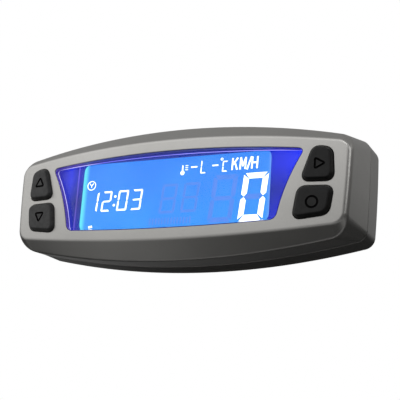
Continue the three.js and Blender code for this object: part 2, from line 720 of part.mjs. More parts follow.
function switchBody({ key, side }) {
  const [x, z] = [key.stem[0] * side, key.stem[1]];
  const half = SWITCH.size / 2;
  const back = at(BOARD[0] - FILM_GAP);
  const body = solidOf(block(x - half, x + half, at(switchDepth), back, z - half, z + half));
  const bore = rod(x, z, SWITCH.plungerRadius + 0.15, at(switchDepth - 1), at(switchDepth + 1.2), 16);
  return cut(body, solidOf(bore));
}

function switchPlunger({ key, side }) {
  const [x, z] = [key.stem[0] * side, key.stem[1]];
  return rod(x, z, SWITCH.plungerRadius, at(plungerTop), at(switchDepth + 0.6), 16);
}

// ---- Materials -------------------------------------------------------------------
const finish = (color, roughness, metalness = 0) =>
  new THREE.MeshStandardMaterial({ color, roughness, metalness });
const MATERIAL = {
  casePaint: finish(0x85847f, 0.42, 0.35),
  rubber: finish(0x1d1d1d, 0.75),
  seal: finish(0x2b2b2b, 0.8),
  lens: finish(0x9fb4ff, 0.05),
  mask: finish(0x2c36d8, 0.4),
  film: finish(0x3f8cff, 0.3),
  glass: finish(0x9ec4ff, 0.08),
  guide: finish(0xdfefff, 0.15),
  white: finish(0xf0f0ee, 0.5),
  board: finish(0x14532d, 0.55),
  chip: finish(0x17181a, 0.5),
  brass: finish(0xb08d45, 0.35, 1),
  steel: finish(0xa8aaac, 0.35, 1),
};

// ---- Assembly --------------------------------------------------------------------
const cluster = new THREE.Group();
function add(parent, name, shape, material) {
  const geometry = shape.isBufferGeometry ? shape : geometryOf(shape);
  const mesh = new THREE.Mesh(geometry, material);
  mesh.name = name;
  parent.add(mesh);
}

function addCase() {
  const group = new THREE.Group();
  add(group, "front_case", frontCase(), MATERIAL.casePaint);
  add(group, "rear_case", rearCase(), MATERIAL.casePaint);
  add(group, "case_seal", caseSeal(), MATERIAL.seal);
  CASE_SCREWS.forEach((place, i) => {
    add(group, `case_screw_${i + 1}`, screw(place, CASE_SCREW), MATERIAL.steel);
  });
  add(group, "mount_insert_left", mountInsert(-1), MATERIAL.brass);
  add(group, "mount_insert_right", mountInsert(1), MATERIAL.brass);
  add(group, "cable_gland", cableGland(), MATERIAL.rubber);
  cluster.add(group);
}

function addDisplay() {
  const group = new THREE.Group();
  add(group, "lens", lens(), MATERIAL.lens);
  add(group, "lens_seal", lensSeal(), MATERIAL.seal);
  add(group, "display_mask", displayMask(), MATERIAL.mask);
  add(group, "lcd_front_film", plate(GLASS.halfWidth - 1, GLASS.halfHeight - 0.5, FRONT_FILM), MATERIAL.film);
  add(group, "lcd_front_glass", plate(GLASS.halfWidth, GLASS.halfHeight, FRONT_GLASS), MATERIAL.glass);
  add(group, "lcd_rear_glass", plate(GLASS.halfWidth, GLASS.halfHeight + LEDGE, REAR_GLASS), MATERIAL.glass);
  add(group, "lcd_rear_film", plate(GLASS.halfWidth - 1, GLASS.halfHeight - 0.7, REAR_FILM), MATERIAL.film);
  add(group, "light_guide", plate(GUIDE.halfWidth, GUIDE.halfHeight, LIGHT_GUIDE), MATERIAL.guide);
  add(group, "light_reflector", plate(GUIDE.halfWidth, GUIDE.halfHeight, REFLECTOR), MATERIAL.white);
  add(group, "display_holder", displayHolder(), MATERIAL.white);
  add(group, "contact_strip_upper", contactStrip(1), MATERIAL.seal);
  add(group, "contact_strip_lower", contactStrip(-1), MATERIAL.seal);
  for (const [side, place] of [[-1, "left"], [1, "right"]]) {
    add(group, `backlight_led_${place}_upper`, backlightLed(side, 1), MATERIAL.white);
    add(group, `backlight_led_${place}_lower`, backlightLed(side, -1), MATERIAL.white);
  }
  cluster.add(group);
}

function addBoard() {
  const group = new THREE.Group();
  add(group, "main_board", mainBoard(), MATERIAL.board);
  BOARD_SCREWS.forEach((place, i) => {
    add(group, `board_screw_${i + 1}`, screw(place, BOARD_SCREW), MATERIAL.steel);
  });
  add(group, "microcontroller", microcontroller(), MATERIAL.chip);
  add(group, "clock_crystal", crystal(), MATERIAL.steel);
  add(group, "supply_capacitor", capacitor(), MATERIAL.chip);
  add(group, "voltage_regulator", regulator(), MATERIAL.chip);
  add(group, "harness_header", harnessHeader(), MATERIAL.white);
  cluster.add(group);
}

function addKeys() {
  const group = new THREE.Group();
  for (const item of KEYS) {
    add(group, `key_${item.name}`, keyCap(item), MATERIAL.rubber);
    add(group, `switch_body_${item.name}`, switchBody(item), MATERIAL.chip);
    add(group, `switch_plunger_${item.name}`, switchPlunger(item), MATERIAL.steel);
  }
  add(group, "keypad_boot_left", keypadBoot(-1), MATERIAL.rubber);
  add(group, "keypad_boot_right", keypadBoot(1), MATERIAL.rubber);
  cluster.add(group);
}

addCase();
addDisplay();
addBoard();
addKeys();

export default cluster;
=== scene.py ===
"""Looks for a motorcycle's digital instrument cluster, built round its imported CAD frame.

Shapes are worked out in millimetres, in the frame's own axes: +X right, +Y back, +Z up.
Outlines are loops of (x, z) points, and a ring is a loop with a depth for each point.
"""

import json
import math

import bmesh
import bpy
from mathutils import Matrix, Vector, geometry

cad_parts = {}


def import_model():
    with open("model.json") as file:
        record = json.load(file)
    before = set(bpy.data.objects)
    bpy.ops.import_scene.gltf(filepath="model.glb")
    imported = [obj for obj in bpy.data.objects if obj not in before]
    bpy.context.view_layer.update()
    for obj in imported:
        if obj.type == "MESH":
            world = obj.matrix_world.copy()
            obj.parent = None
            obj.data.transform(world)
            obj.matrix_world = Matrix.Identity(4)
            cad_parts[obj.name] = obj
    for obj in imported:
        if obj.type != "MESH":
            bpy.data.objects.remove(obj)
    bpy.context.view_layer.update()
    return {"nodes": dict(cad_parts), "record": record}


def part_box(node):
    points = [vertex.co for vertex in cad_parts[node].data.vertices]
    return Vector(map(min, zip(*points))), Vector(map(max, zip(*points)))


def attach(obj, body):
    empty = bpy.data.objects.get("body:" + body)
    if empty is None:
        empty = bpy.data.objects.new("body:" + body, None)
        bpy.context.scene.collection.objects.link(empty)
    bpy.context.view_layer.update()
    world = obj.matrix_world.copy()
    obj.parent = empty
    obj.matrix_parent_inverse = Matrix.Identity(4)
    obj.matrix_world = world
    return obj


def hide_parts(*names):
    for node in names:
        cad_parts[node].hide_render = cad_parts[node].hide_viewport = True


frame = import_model()
MM = 0.001


def node_box(name):
    """A CAD node's lowest and highest corners, in millimetres."""
    low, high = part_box(name)
    return low / MM, high / MM


# ---- Places taken from the frame ----
FRONT_BOX = node_box("front_case")
REAR_BOX = node_box("rear_case")
FILM_BOX = node_box("lcd_front_film")
GLAND_BOX = node_box("cable_gland")
FACE_Y = FRONT_BOX[0].y
HALF_HEIGHT = FRONT_BOX[1].z
PARTING = (FRONT_BOX[1].y, REAR_BOX[0].y)
PAD_Y = REAR_BOX[1].y

# ---- Sizes the frame doesn't name ----
# Case. Every sag is taken at SAG_SPAN from the middle. A lean widens an outline towards its top,
# and the chamfer's slope is its depth per unit of its width.
FACE_SAG = 4.2
SAG_SPAN = 60.0
SIDE_RADIUS = 500.0
FACE_EDGE = dict(height=18.7, sag=3.4, corner=4.2)
FACE_OUTLINE = dict(half_width=66.0, lean=0.0008, upper=FACE_EDGE, lower=FACE_EDGE)
CREASE_OUTLINE = dict(
    half_width=67.2,
    lean=0.0008,
    upper=dict(height=HALF_HEIGHT, sag=6.4, corner=7.3),
    lower=dict(height=HALF_HEIGHT - 0.05, sag=6.0, corner=8.0),
)
PARTING_OUTLINE = dict(
    half_width=68.68,
    lean=0.0004,
    upper=dict(height=HALF_HEIGHT, sag=3.7, corner=4.7),
    lower=dict(height=23.45, sag=5.7, corner=4.3),
)
CHAMFER_SLOPE = 1.05
CREASE_ROUND = 1.0
FACE_ROUND = 0.85
EDGE_BREAK = 0.12
WALL = 2.2
FRONT_WALL = 1.8
INNER_FACE_INSET = 0.7
INNER_REAR_EDGE = 1.0
REAR_EDGE = 1.5

# Back of the case. The pad's profile is (outwards, up from the rear wall), and a floor is a depth
# in from that wall.
PAD = dict(left=-29.0, bottom=-7.0, right=29.0, top=7.0, corner=3.0)
PAD_HEIGHT = 2.0
PAD_PROFILE = [(0.5, 0.0), (0.15, 0.15), (0.0, 0.5), (0.0, 1.65), (-0.1, 1.9), (-0.35, PAD_HEIGHT)]
REAR_Y = PAD_Y - PAD_HEIGHT
HOLE_ROUND = 0.25
INSERT_X = 20.0
INSERT_HOLE_RADIUS = 3.6
INSERT_FLOOR = 5.0
GLAND_HOLE_RADIUS = 4.75
SCREW_GAP = 0.3
SCREW_FLOOR = 4.0

# Window, lens and lit tray. Leans and flares are taken at FLARE_SPAN above the middle, and a
# depth is behind the bowed face.
WINDOW = dict(half_height=14.5, bow=3.0, side=45.5, lean=5.65, flare=1.9, corner=2.6)
WINDOW_ROUND = 0.35
FLARE_SPAN = 15.0
LENS_GAP = 0.15
LENS_EDGE = 0.2
LENS_BACK = 3.4
LENS_BACK_INSET = 0.1
LENS_FLANGE = dict(front=2.4, reach=1.5)
LIP = dict(half_height=13.9, bow=1.9, side=45.4, lean=5.65, flare=1.9, corner=2.6)
LIP_WIDTH = 0.25
LIP_DEPTH = 3.5
TRAY_REACH = 1.3
TRAY_RIM = 3.6
TRAY_DEPTH = 4.0
TRAY_BACK = 4.4
TRAY_SIDE = 50.0
FILM_GAP = 0.1

# Display, with places on its front as (x, z). A slant leans a shape per unit of its height.
VIEW = dict(left=-38.4, bottom=-12.7, right=38.4, top=13.5, corner=3.0)
SEGMENT_LIFT = (0.06, 0.01)
SPEED_DIGIT = dict(width=9.4, height=17.45, slant=0.106)
SPEED_PLACE = (26.3, -11.9)
SPEED_STROKE = 2.1
UNLIT_DIGIT = dict(width=6.4, height=11.2, stroke=1.0, slant=0.1)
CLOCK_DIGIT = dict(height=7.9, stroke=0.68, slant=0.085)
CLOCK_BASE = -5.5
CLOCK_SYMBOL = (-34.7, 5.1)
READING_STROKE = 0.45
READING_BASE = 6.75
THERMOMETER = (3.5, 7.5)
UNIT_BASE = 7.15

# Keys. Their top faces are those on the right, which the left ones mirror, and so are their stems.
# Each symbol has a centre of its own.
KEY_UPPER = [(51.2, 1.1), (60.9, 1.1), (60.3, 11.5), (54.9, 12.2)]
KEY_LOWER = [(48.7, -12.4), (59.6, -10.9), (60.8, -2.3), (50.2, -2.3)]
KEY_CORNER = 2.2
KEY_DRAFT = 0.8
KEY_RISE = 1.65
KEY_ROUND = 0.45
KEY_FOOT = 0.15
KEY_GAP = 0.15
KEY_MOUTH_ROUND = 0.3
KEY_FLANGE = dict(front=1.95, back=3.1, reach=0.9)
KEY_SPLIT = dict(z=-0.6, half_gap=0.15)
STEM_RADIUS = 2.0
STEMS = {"upper": (56.0, 6.1), "lower": (55.2, -6.5)}
SYMBOLS = {"up": (-56.4, 6.5), "down": (-55.0, -6.6), "right": (56.7, 6.1), "ring": (54.9, -7.6)}
RING_RADIUS = 1.95
ARROW_RADIUS = 2.25
ARROW_CORNER = 0.7
GROOVE_WIDTH = 0.75
GROOVE_DEPTH = 0.5

# Meshes.
FILLET_STEPS = 6
MOUTH_STEPS = 4
WELD = 0.002
TOLERANCE = 1e-6
SHARP_ANGLE = math.radians(50)


# ---- Loops ----
def arc(centre, radius, start, end, steps):
    """Points along an arc, without its last one."""
    angles = [start + (end - start) * i / steps for i in range(steps)]
    return [(centre[0] + radius * math.cos(a), centre[1] + radius * math.sin(a)) for a in angles]


def mirrored(loop, sx, sz):
    """The points reflected and in the opposite order, which keeps a loop's turn."""
    return [(x * sx, z * sz) for x, z in reversed(loop)]


def bar_outline(half_width, lean, upper, lower):
    """A bowed bar with its own upper and lower edge, which the lean widens towards the top."""
    bottom = mirrored(half_bar(half_width, **lower), 1, -1)
    loop = half_bar(half_width, **upper) + bottom[1:-1]
    return [(x * (1 + lean * z), z) for x, z in loop]


def half_bar(half_width, height, sag, corner):
    """The bar above its middle: large arcs above and at the ends, joined smoothly by round corners."""
    top_radius = (SAG_SPAN**2 + sag**2) / (2 * sag)
    top = Vector((0, height - top_radius))
    side = Vector((half_width - SIDE_RADIUS, 0))
    spacing = (side - top).length
    along = ((top_radius - corner) ** 2 - (SIDE_RADIUS - corner) ** 2 + spacing**2) / (2 * spacing)
    across = math.sqrt((top_radius - corner) ** 2 - along**2)
    unit = (side - top) / spacing
    middle = top + unit * along + Vector((unit.y, -unit.x)) * across
    side_angle = math.atan2(middle.y, middle.x - side.x)
    top_angle = math.atan2(middle.y - top.y, middle.x)
    quarter = arc(side, SIDE_RADIUS, 0, side_angle, steps=5)
    quarter += arc(middle, corner, side_angle, top_angle, steps=14)
    quarter += arc(top, top_radius, top_angle, math.pi / 2, steps=20)
    return quarter + [(0, height)] + mirrored(quarter, -1, 1)


def grown(loop, distance):
    """The loop moved outwards by a distance, or inwards if it is negative."""
    moved = []
    for i, (x, z) in enumerate(loop):
        here = Vector((x, z))
        before = (here - Vector(loop[i - 1])).normalized()
        after = (Vector(loop[(i + 1) % len(loop)]) - here).normalized()
        normal = Vector((before.y + after.y, -before.x - after.x)).normalized()
        spread = normal.x * before.y - normal.y * before.x
        moved.append(tuple(here + normal * distance / spread))
    return moved


def filleted(edges, radius):
    """A loop of edges, each a list of points, with the corners between them rounded."""
    loop = []
    for i, edge in enumerate(edges):
        following = edges[(i + 1) % len(edges)]
        start, corner = Vector(edge[0]), Vector(edge[-1])
        loop += [p for p in edge if min((Vector(p) - start).length, (Vector(p) - corner).length) > radius]
        back = (Vector(edge[-2]) - corner).normalized() * radius
        ahead = (Vector(following[1]) - corner).normalized() * radius
        loop += [tuple(p) for p in bezier(corner + back, corner, corner + ahead, FILLET_STEPS)]
    return loop


def bezier(start, control, end, steps):
    """Points along a quadratic curve, both ends included."""
    fractions = [i / steps for i in range(steps + 1)]
    return [start * (1 - t) ** 2 + control * 2 * t * (1 - t) + end * t**2 for t in fractions]


def polygon(corners, radius):
    """A polygon with rounded corners."""
    edges = [[corners[i], corners[(i + 1) % len(corners)]] for i in range(len(corners))]
    return filleted(edges, radius)


def rectangle(left, bottom, right, top, corner):
    return polygon([(left, bottom), (right, bottom), (right, top), (left, top)], corner)


def circle(x, z, radius, steps=28):
    return arc((x, z), radius, 0, math.tau, steps)


def window_outline(half_height, bow, side, lean, flare, corner):
    """The window: bowed above and below, with sides that flare towards the top."""

    def side_at(z):
        height = z / FLARE_SPAN
        return side + lean * height + flare * height**2

    def bow_at(x):
        return half_height - bow * (x / SAG_SPAN) ** 2

    top = side_at(bow_at(side + lean))
    bottom = side_at(-bow_at(side - lean))
    across = [i / 30 for i in range(31)]
    up = [i / 10 for i in range(11)]
    low_z, high_z = -bow_at(bottom), bow_at(top)
    lower = [(bottom * (2 * t - 1), -bow_at(bottom * (2 * t - 1))) for t in across]
    upper = [(top * (1 - 2 * t), bow_at(top * (1 - 2 * t))) for t in across]
    heights = [low_z + (high_z - low_z) * t for t in up]
    right = [(side_at(z), z) for z in heights]
    left = [(-side_at(z), z) for z in reversed(heights)]
    return filleted([lower, right, upper, left], corner)


def face_fall(x):
    """How far the convex face has fallen back at x."""
    return FACE_SAG * (x / SAG_SPAN) ** 2


def on_face(depth):
    """A surface that follows the convex face, at a depth behind it."""
    return lambda x, z: FACE_Y + depth + face_fall(x)


def flat(y):
    return lambda x, z: y


def ring(loop, surface):
    """A loop placed on a surface, as points in space."""
    return [Vector((x, surface(x, z), z)) for x, z in loop]


# ---- Meshes ----
def inside(x, z, loop):
    """Whether a point lies inside a loop."""
    found = False
    for i, (x1, z1) in enumerate(loop):
        x0, z0 = loop[i - 1]
        if (z0 > z) != (z1 > z) and x < (x1 - x0) * (z - z0) / (z1 - z0) + x0:
            found = not found
    return found


class Skin:
    """Rings, crowns and plates that weld into one closed mesh. Each face takes the current mark,
    which is the number of its material."""

    def __init__(self):
        self.points = []
        self.faces = []
        self.marks = []
        self.mark = 0

    def _add(self, points):
        start = len(self.points)
        self.points += points
        return start

    def _face(self, corners):
        self.faces.append(corners)
        self.marks.append(self.mark)

    def loft(self, rings):
        """Joins each ring to the next. All have the same number of points."""
        count = len(rings[0])
        for near, far in zip(rings, rings[1:]):
            a, b = self._add(near), self._add(far)
            for i in range(count):
                j = (i + 1) % count
                self._face((a + i, a + j, b + j, b + i))

    def crown(self, outline, holes, surface, spacing=4.0, clear=1.1):
        """Fills the space between an outline and its holes with triangles on a surface."""
        loops = [outline, *holes]
        flat_points, edges = [], []
        for loop in loops:
            start = len(flat_points)
            flat_points += loop
            edges += [(start + i, start + (i + 1) % len(loop)) for i in range(len(loop))]
        border = [Vector(p) for p in flat_points]
        for x, z in self._grid(outline, spacing):
            if all((p - Vector((x, z))).length > clear for p in border) and self._kept(x, z, loops):
                flat_points.append((x, z))
        result = geometry.delaunay_2d_cdt([Vector(p) for p in flat_points], edges, [], 0, TOLERANCE)
        start = self._add([Vector((p.x, surface(p.x, p.y), p.y)) for p in result[0]])
        for face in result[2]:
            middle = sum((result[0][i] for i in face), Vector((0, 0))) / len(face)
            if self._kept(middle.x, middle.y, loops):
                self._face(tuple(start + i for i in face))

    def plates(self, polygons, front, back):
        """Thin plates in the shape of the polygons' union, between two depths."""
        corners, sides = [], []
        for shape in polygons:
            sides.append(list(range(len(corners), len(corners) + len(shape))))
            turn = sum(a[0] * b[1] - a[1] * b[0] for a, b in zip(shape, [*shape[1:], shape[0]]))
            corners += [Vector(p) for p in (shape if turn > 0 else shape[::-1])]
        result = geometry.delaunay_2d_cdt(corners, [], sides, 0, TOLERANCE)
        near = self._add([Vector((p.x, front, p.y)) for p in result[0]])
        far = self._add([Vector((p.x, back, p.y)) for p in result[0]])
        uses = {}
        for face, sources in zip(result[2], result[5]):
            if not sources:
                continue
            self._face(tuple(near + i for i in face))
            self._face(tuple(far + i for i in reversed(face)))
            for i, j in zip(face, [*face[1:], face[0]]):
                uses.setdefault(frozenset((i, j)), []).append((i, j))
        for edges in uses.values():
            if len(edges) == 1:
                i, j = edges[0]
                self._face((near + i, near + j, far + j, far + i))

    @staticmethod
    def _grid(outline, spacing):
        xs, zs = [p[0] for p in outline], [p[1] for p in outline]
        for i in range(int((max(xs) - min(xs)) / spacing)):
            for j in range(int((max(zs) - min(zs)) / spacing)):
                yield min(xs) + (i + 0.5) * spacing, min(zs) + (j + 0.5) * spacing

    @staticmethod
    def _kept(x, z, loops):
        return inside(x, z, loops[0]) and not any(inside(x, z, hole) for hole in loops[1:])

    def piece(self, name, materials, replaced=(), body="cluster", smooth=True):
        """Welds the skin into an object that rides on a body and replaces the CAD nodes named."""
        mesh = bpy.data.meshes.new(name)
        mesh.from_pydata([p * MM for p in self.points], [], self.faces)
        mesh.polygons.foreach_set("material_index", self.marks)
        work = bmesh.new()
        work.from_mesh(mesh)
        bmesh.ops.remove_doubles(work, verts=work.verts, dist=WELD * MM)
        bmesh.ops.delete(work, geom=[v for v in work.verts if not v.link_faces], context="VERTS")
        bmesh.ops.recalc_face_normals(work, faces=work.faces)
        work.to_mesh(mesh)
        work.free()
        for material in materials:
            mesh.materials.append(material)
        obj = bpy.data.objects.new(name, mesh)
        bpy.context.collection.objects.link(obj)
        if smooth:
            mesh.shade_smooth()
            mesh.set_sharp_from_angle(angle=SHARP_ANGLE)
            weighted = obj.modifiers.new("edges", "WEIGHTED_NORMAL")
            weighted.keep_sharp = True
        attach(obj, body)
        if replaced:
            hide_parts(*replaced)


def rounded_mouth(loop, radius, surface_at):
    """Rings that turn from a face into a hole through it. surface_at(d) is the face moved in by d."""
    rings = []
    for i in range(MOUTH_STEPS + 1):
        angle = math.pi / 2 * i / MOUTH_STEPS
        out, depth = radius * (1 - math.sin(angle)), radius * (1 - math.cos(angle))
        rings.append(ring(grown(loop, out), surface_at(depth)))
    return rings


# ---- Materials ----
def fill_ramp(node, stops):
    """Sets a colour ramp's stops, each (place, colour)."""
    elements = node.color_ramp.elements
    while len(elements) < len(stops):
        elements.new(0.5)
    for element, (place, color) in zip(elements, stops):
        element.position = place
        element.color = (*color, 1)


def set_range(node, low, high, to_low, to_high):
    """Sets the ranges that a Map Range node maps from and to."""
    node.inputs["From Min"].default_value = low
    node.inputs["From Max"].default_value = high
    node.inputs["To Min"].default_value = to_low
    node.inputs["To Max"].default_value = to_high


def grey(level):
    return (level, level, level)


def greys(*stops):
    """Grey ramp stops, from pairs of (place, level)."""
    return [(place, grey(level)) for place, level in stops]


class Finish:
    """A node material: a Principled shader, with helpers for its procedural inputs."""

    def __init__(self, name, color=(0.5, 0.5, 0.5), roughness=0.5, metallic=0.0, **sockets):
        self.material = bpy.data.materials.new(name)
        self.material.use_nodes = True
        self.nodes = self.material.node_tree.nodes
        self.links = self.material.node_tree.links
        self.shader = self.nodes["Principled BSDF"]
        self.shader.inputs["Base Color"].default_value = (*color, 1)
        self.shader.inputs["Roughness"].default_value = roughness
        self.shader.inputs["Metallic"].default_value = metallic
        for socket, value in sockets.items():
            self.shader.inputs[socket.replace("_", " ")].default_value = value
        place = self.nodes.new("ShaderNodeTexCoord")
        self.place = place.outputs["Object"]

    def noise(self, scale, detail=3.0, stretch=None):
        """Noise over the object's own coordinates, with scale in features per metre."""
        texture = self.nodes.new("ShaderNodeTexNoise")
        texture.inputs["Scale"].default_value = scale
        texture.inputs["Detail"].default_value = detail
        place = self.place
        if stretch:
            mapping = self.nodes.new("ShaderNodeMapping")
            mapping.inputs["Scale"].default_value = stretch
            self.links.new(place, mapping.inputs["Vector"])
            place = mapping.outputs["Vector"]
        self.links.new(place, texture.inputs["Vector"])
        return texture.outputs["Fac"]

    def axis(self, name, low, high):
        """0 to 1 along an axis, between two places in millimetres."""
        split = self.nodes.new("ShaderNodeSeparateXYZ")
        self.links.new(self.place, split.inputs[0])
        return self.span(split.outputs[name], low * MM, high * MM, 0, 1)

    def ramp_axis(self, name, low, high):
        """The same without easing, for a colour ramp whose stops are places along the axis."""
        mapped = self.axis(name, low, high)
        mapped.node.interpolation_type = "LINEAR"
        return mapped

    def span(self, value, low, high, to_low, to_high):
        """A value mapped from one range to another, and held inside it."""
        mapped = self.nodes.new("ShaderNodeMapRange")
        mapped.interpolation_type = "SMOOTHSTEP"
        set_range(mapped, low, high, to_low, to_high)
        self.links.new(value, mapped.inputs["Value"])
        return mapped.outputs["Result"]

    def ramp(self, value, stops):
        """A colour ramp: stops are (place, colour)."""
        ramp = self.nodes.new("ShaderNodeValToRGB")
        fill_ramp(ramp, stops)
        self.links.new(value, ramp.inputs["Fac"])
        return ramp.outputs["Color"]

    def mottle(self, scale, dark, light, spread=0.2, **noise):
        """Noise between two colours, reached at a spread either side of its middle."""
        return self.ramp(self.noise(scale, **noise), [(0.5 - spread, dark), (0.5 + spread, light)])

    def mix(self, factor, first, second, blend="MIX"):
        """Two colours or colour outputs blended by a factor, which is an output or a number. A Mix
        node's factor is its input 0, and its colours are inputs 6 and 7 and output 2."""
        mixed = self.nodes.new("ShaderNodeMix")
        mixed.data_type = "RGBA"
        mixed.blend_type = blend
        for socket, value in zip((0, 6, 7), (factor, first, second)):
            if isinstance(value, bpy.types.NodeSocket):
                self.links.new(value, mixed.inputs[socket])
            elif socket:
                mixed.inputs[socket].default_value = (*value, 1)
            else:
                mixed.inputs[socket].default_value = value
        return mixed.outputs[2]

    def times(self, first, second):
        """Two colours or colour outputs multiplied."""
        return self.mix(1.0, first, second, "MULTIPLY")

    def bump(self, height, distance, strength):
        """Surface relief from a height output, with distance in millimetres."""
        node = self.nodes.new("ShaderNodeBump")
        node.inputs["Distance"].default_value = distance * MM
        node.inputs["Strength"].default_value = strength
        self.links.new(height, node.inputs["Height"])
        self.links.new(node.outputs["Normal"], self.shader.inputs["Normal"])
        return self

    def set(self, socket, output):
        self.links.new(output, self.shader.inputs[socket])
        return self

    def wear(self, low, high, scale):
        """Roughness that varies a little over the surface."""
        return self.set("Roughness", self.span(self.noise(scale), 0.3, 0.7, low, high))


def case_paint():
    """Satin metallic paint: fine flake, a slight orange peel and faint cloudy tone. It carries painted
    shade, darker towards the bottom and lighter at the top, and is a shade darker on the rear half."""
    f = Finish("case_paint", metallic=0.75)
    flake = f.mottle(9000, (0.37, 0.365, 0.35), (0.45, 0.442, 0.425), 0.15, detail=1.0)
    cloud = f.mottle(45, grey(0.93), grey(1.0), detail=2.0)
    paint = f.times(flake, cloud)
    # Painted light and shade: darker towards the bottom and lighter at the top, as the light falls.
    painted_shading = f.ramp(f.ramp_axis("Z", low=-24, high=24), greys((0.0, 0.76), (0.5, 0.97), (1.0, 1.1)))
    rear = f.ramp(f.ramp_axis("Y", *PARTING), greys((0.0, 1.0), (1.0, 0.78)))
    f.set("Base Color", f.times(f.times(paint, painted_shading), rear))
    f.wear(0.31, 0.38, 2500)
    return f.bump(f.noise(1400, 2.0), 0.02, 0.25).material


def key_rubber():
    """Matte black silicone with a fine moulded grain. The left keys are painted a little paler, a painted
    highlight for the light that falls on them.
    """
    f = Finish("key_rubber", Specular_IOR_Level=0.2)
    grain = f.mottle(600, grey(0.6), grey(1.0), detail=4.0)
    # Painted light: the left keys are paler, where more of the softbox light falls on them.
    painted_side_light = f.ramp(f.ramp_axis("X", low=-60, high=60), greys((0.0, 0.05), (0.9, 0.01)))
    f.set("Base Color", f.times(grain, painted_side_light))
    f.wear(0.38, 0.5, 1500)
    return f.bump(f.noise(5000, 2.0), 0.02, 0.35).material


def key_mark():
    """The floor of a key's sunk symbol, which is rougher than its face and painted darker as shade in the
    groove.
    """
    f = Finish("key_mark", roughness=0.9, Specular_IOR_Level=0.1)
    return f.set("Base Color", f.mottle(900, grey(0.001), grey(0.003))).material


def seal_rubber():
    f = Finish("seal_rubber", roughness=0.7)
    f.set("Base Color", f.mottle(800, grey(0.012), grey(0.03)))
    return f.bump(f.noise(3000, 2.0), 0.03, 0.4).material


def bright_steel():
    """Zinc plate with fine turning marks."""
    f = Finish("bright_steel", metallic=1.0)
    f.set("Base Color", f.mottle(900, (0.42, 0.42, 0.43), grey(0.62)))
    f.wear(0.25, 0.45, 1200)
    return f.bump(f.noise(4000, 1.0, (1, 8, 1)), 0.01, 0.4).material


def insert_brass():
    f = Finish("insert_brass", metallic=1.0)
    f.set("Base Color", f.mottle(700, (0.55, 0.36, 0.12), (0.72, 0.52, 0.2)))
    f.wear(0.25, 0.42, 1500)
    return f.bump(f.noise(4000, 1.0, (1, 6, 1)), 0.01, 0.4).material


def lens_clear():
    """Clear moulded lens with a faint polish haze. Its low index and specular level keep it from
    mirroring the lights over the display."""
    clear = dict(Transmission_Weight=1.0, IOR=1.25, Specular_IOR_Level=0.0)
    f = Finish("lens_clear", (0.93, 0.95, 1.0), **clear)
    return f.wear(0.0, 0.03, 120).material


def light_guide_clear():
    f = Finish("light_guide_clear", (0.85, 0.95, 1.0), Transmission_Weight=0.8, IOR=1.49)
    return f.wear(0.08, 0.2, 500).material


def display_glass():
    f = Finish("display_glass", (0.2, 0.45, 1.0), Transmission_Weight=0.6, IOR=1.5)
    return f.wear(0.03, 0.08, 500).material


def plastic(name, dark, light, low, high):
    """Moulded plastic with a slight mottle and a fine spark-eroded grain."""
    f = Finish(name)
    f.set("Base Color", f.mottle(700, dark, light))
    f.wear(low, high, 1500)
    return f.bump(f.noise(3500, 2.0), 0.02, 0.35).material


def board_green():
    """Solder resist with the faint relief of the tracks under it."""
    f = Finish("board_green")
    tracks = f.noise(380, 0.0, (1, 1, 6))
    f.set("Base Color", f.ramp(tracks, [(0.46, (0.006, 0.07, 0.022)), (0.54, (0.014, 0.13, 0.045))]))
    f.wear(0.25, 0.4, 900)
    return f.bump(tracks, 0.03, 0.5).material


DARK_BLUE = (0.005, 0.01, 0.05)


def backlit_film():
    """The lit display: azure, deeper towards its top and bright along its left edge."""
    f = Finish("display_film", DARK_BLUE, 0.3, Specular_IOR_Level=0.1, Emission_Strength=0.95)
    stops = [(0.0, (0.035, 0.35, 1.0)), (0.5, (0.04, 0.32, 1.0)), (1.0, (0.035, 0.29, 1.0))]
    tone = f.ramp(f.axis("Z", VIEW["bottom"], VIEW["top"]), stops)
    cloud = f.mottle(60, (0.9, 0.93, 1.0), (1.15, 1.05, 1.0), 0.15, detail=2.0)
    body = f.times(tone, cloud)
    left = f.span(f.axis("X", VIEW["left"], VIEW["left"] + 3.0), 0.0, 1.0, 1.0, 0.0)
    lit = f.mix(left, body, (0.14, 0.9, 1.0))
    right = f.span(f.axis("X", VIEW["right"] - 1.8, VIEW["right"]), 0.0, 1.0, 0.0, 0.6)
    f.set("Emission Color", f.mix(right, lit, (0.2, 0.42, 1.0)))
    return f.material


def segment_light():
    """Lit segments: white with the faintest blue mottle."""
    f = Finish("segment_light", (0.9, 0.95, 1.0), 0.4, Emission_Strength=1.25)
    return f.set("Emission Color", f.mottle(500, (0.93, 0.98, 1.0), grey(1.0))).material


def segment_ghost():
    """Unlit segments, which show as a faint violet."""
    f = Finish("segment_ghost", DARK_BLUE, 0.35, Specular_IOR_Level=0.1, Emission_Strength=0.9)
    return f.set("Emission Color", f.mottle(400, (0.085, 0.30, 0.97), (0.12, 0.32, 1.0))).material


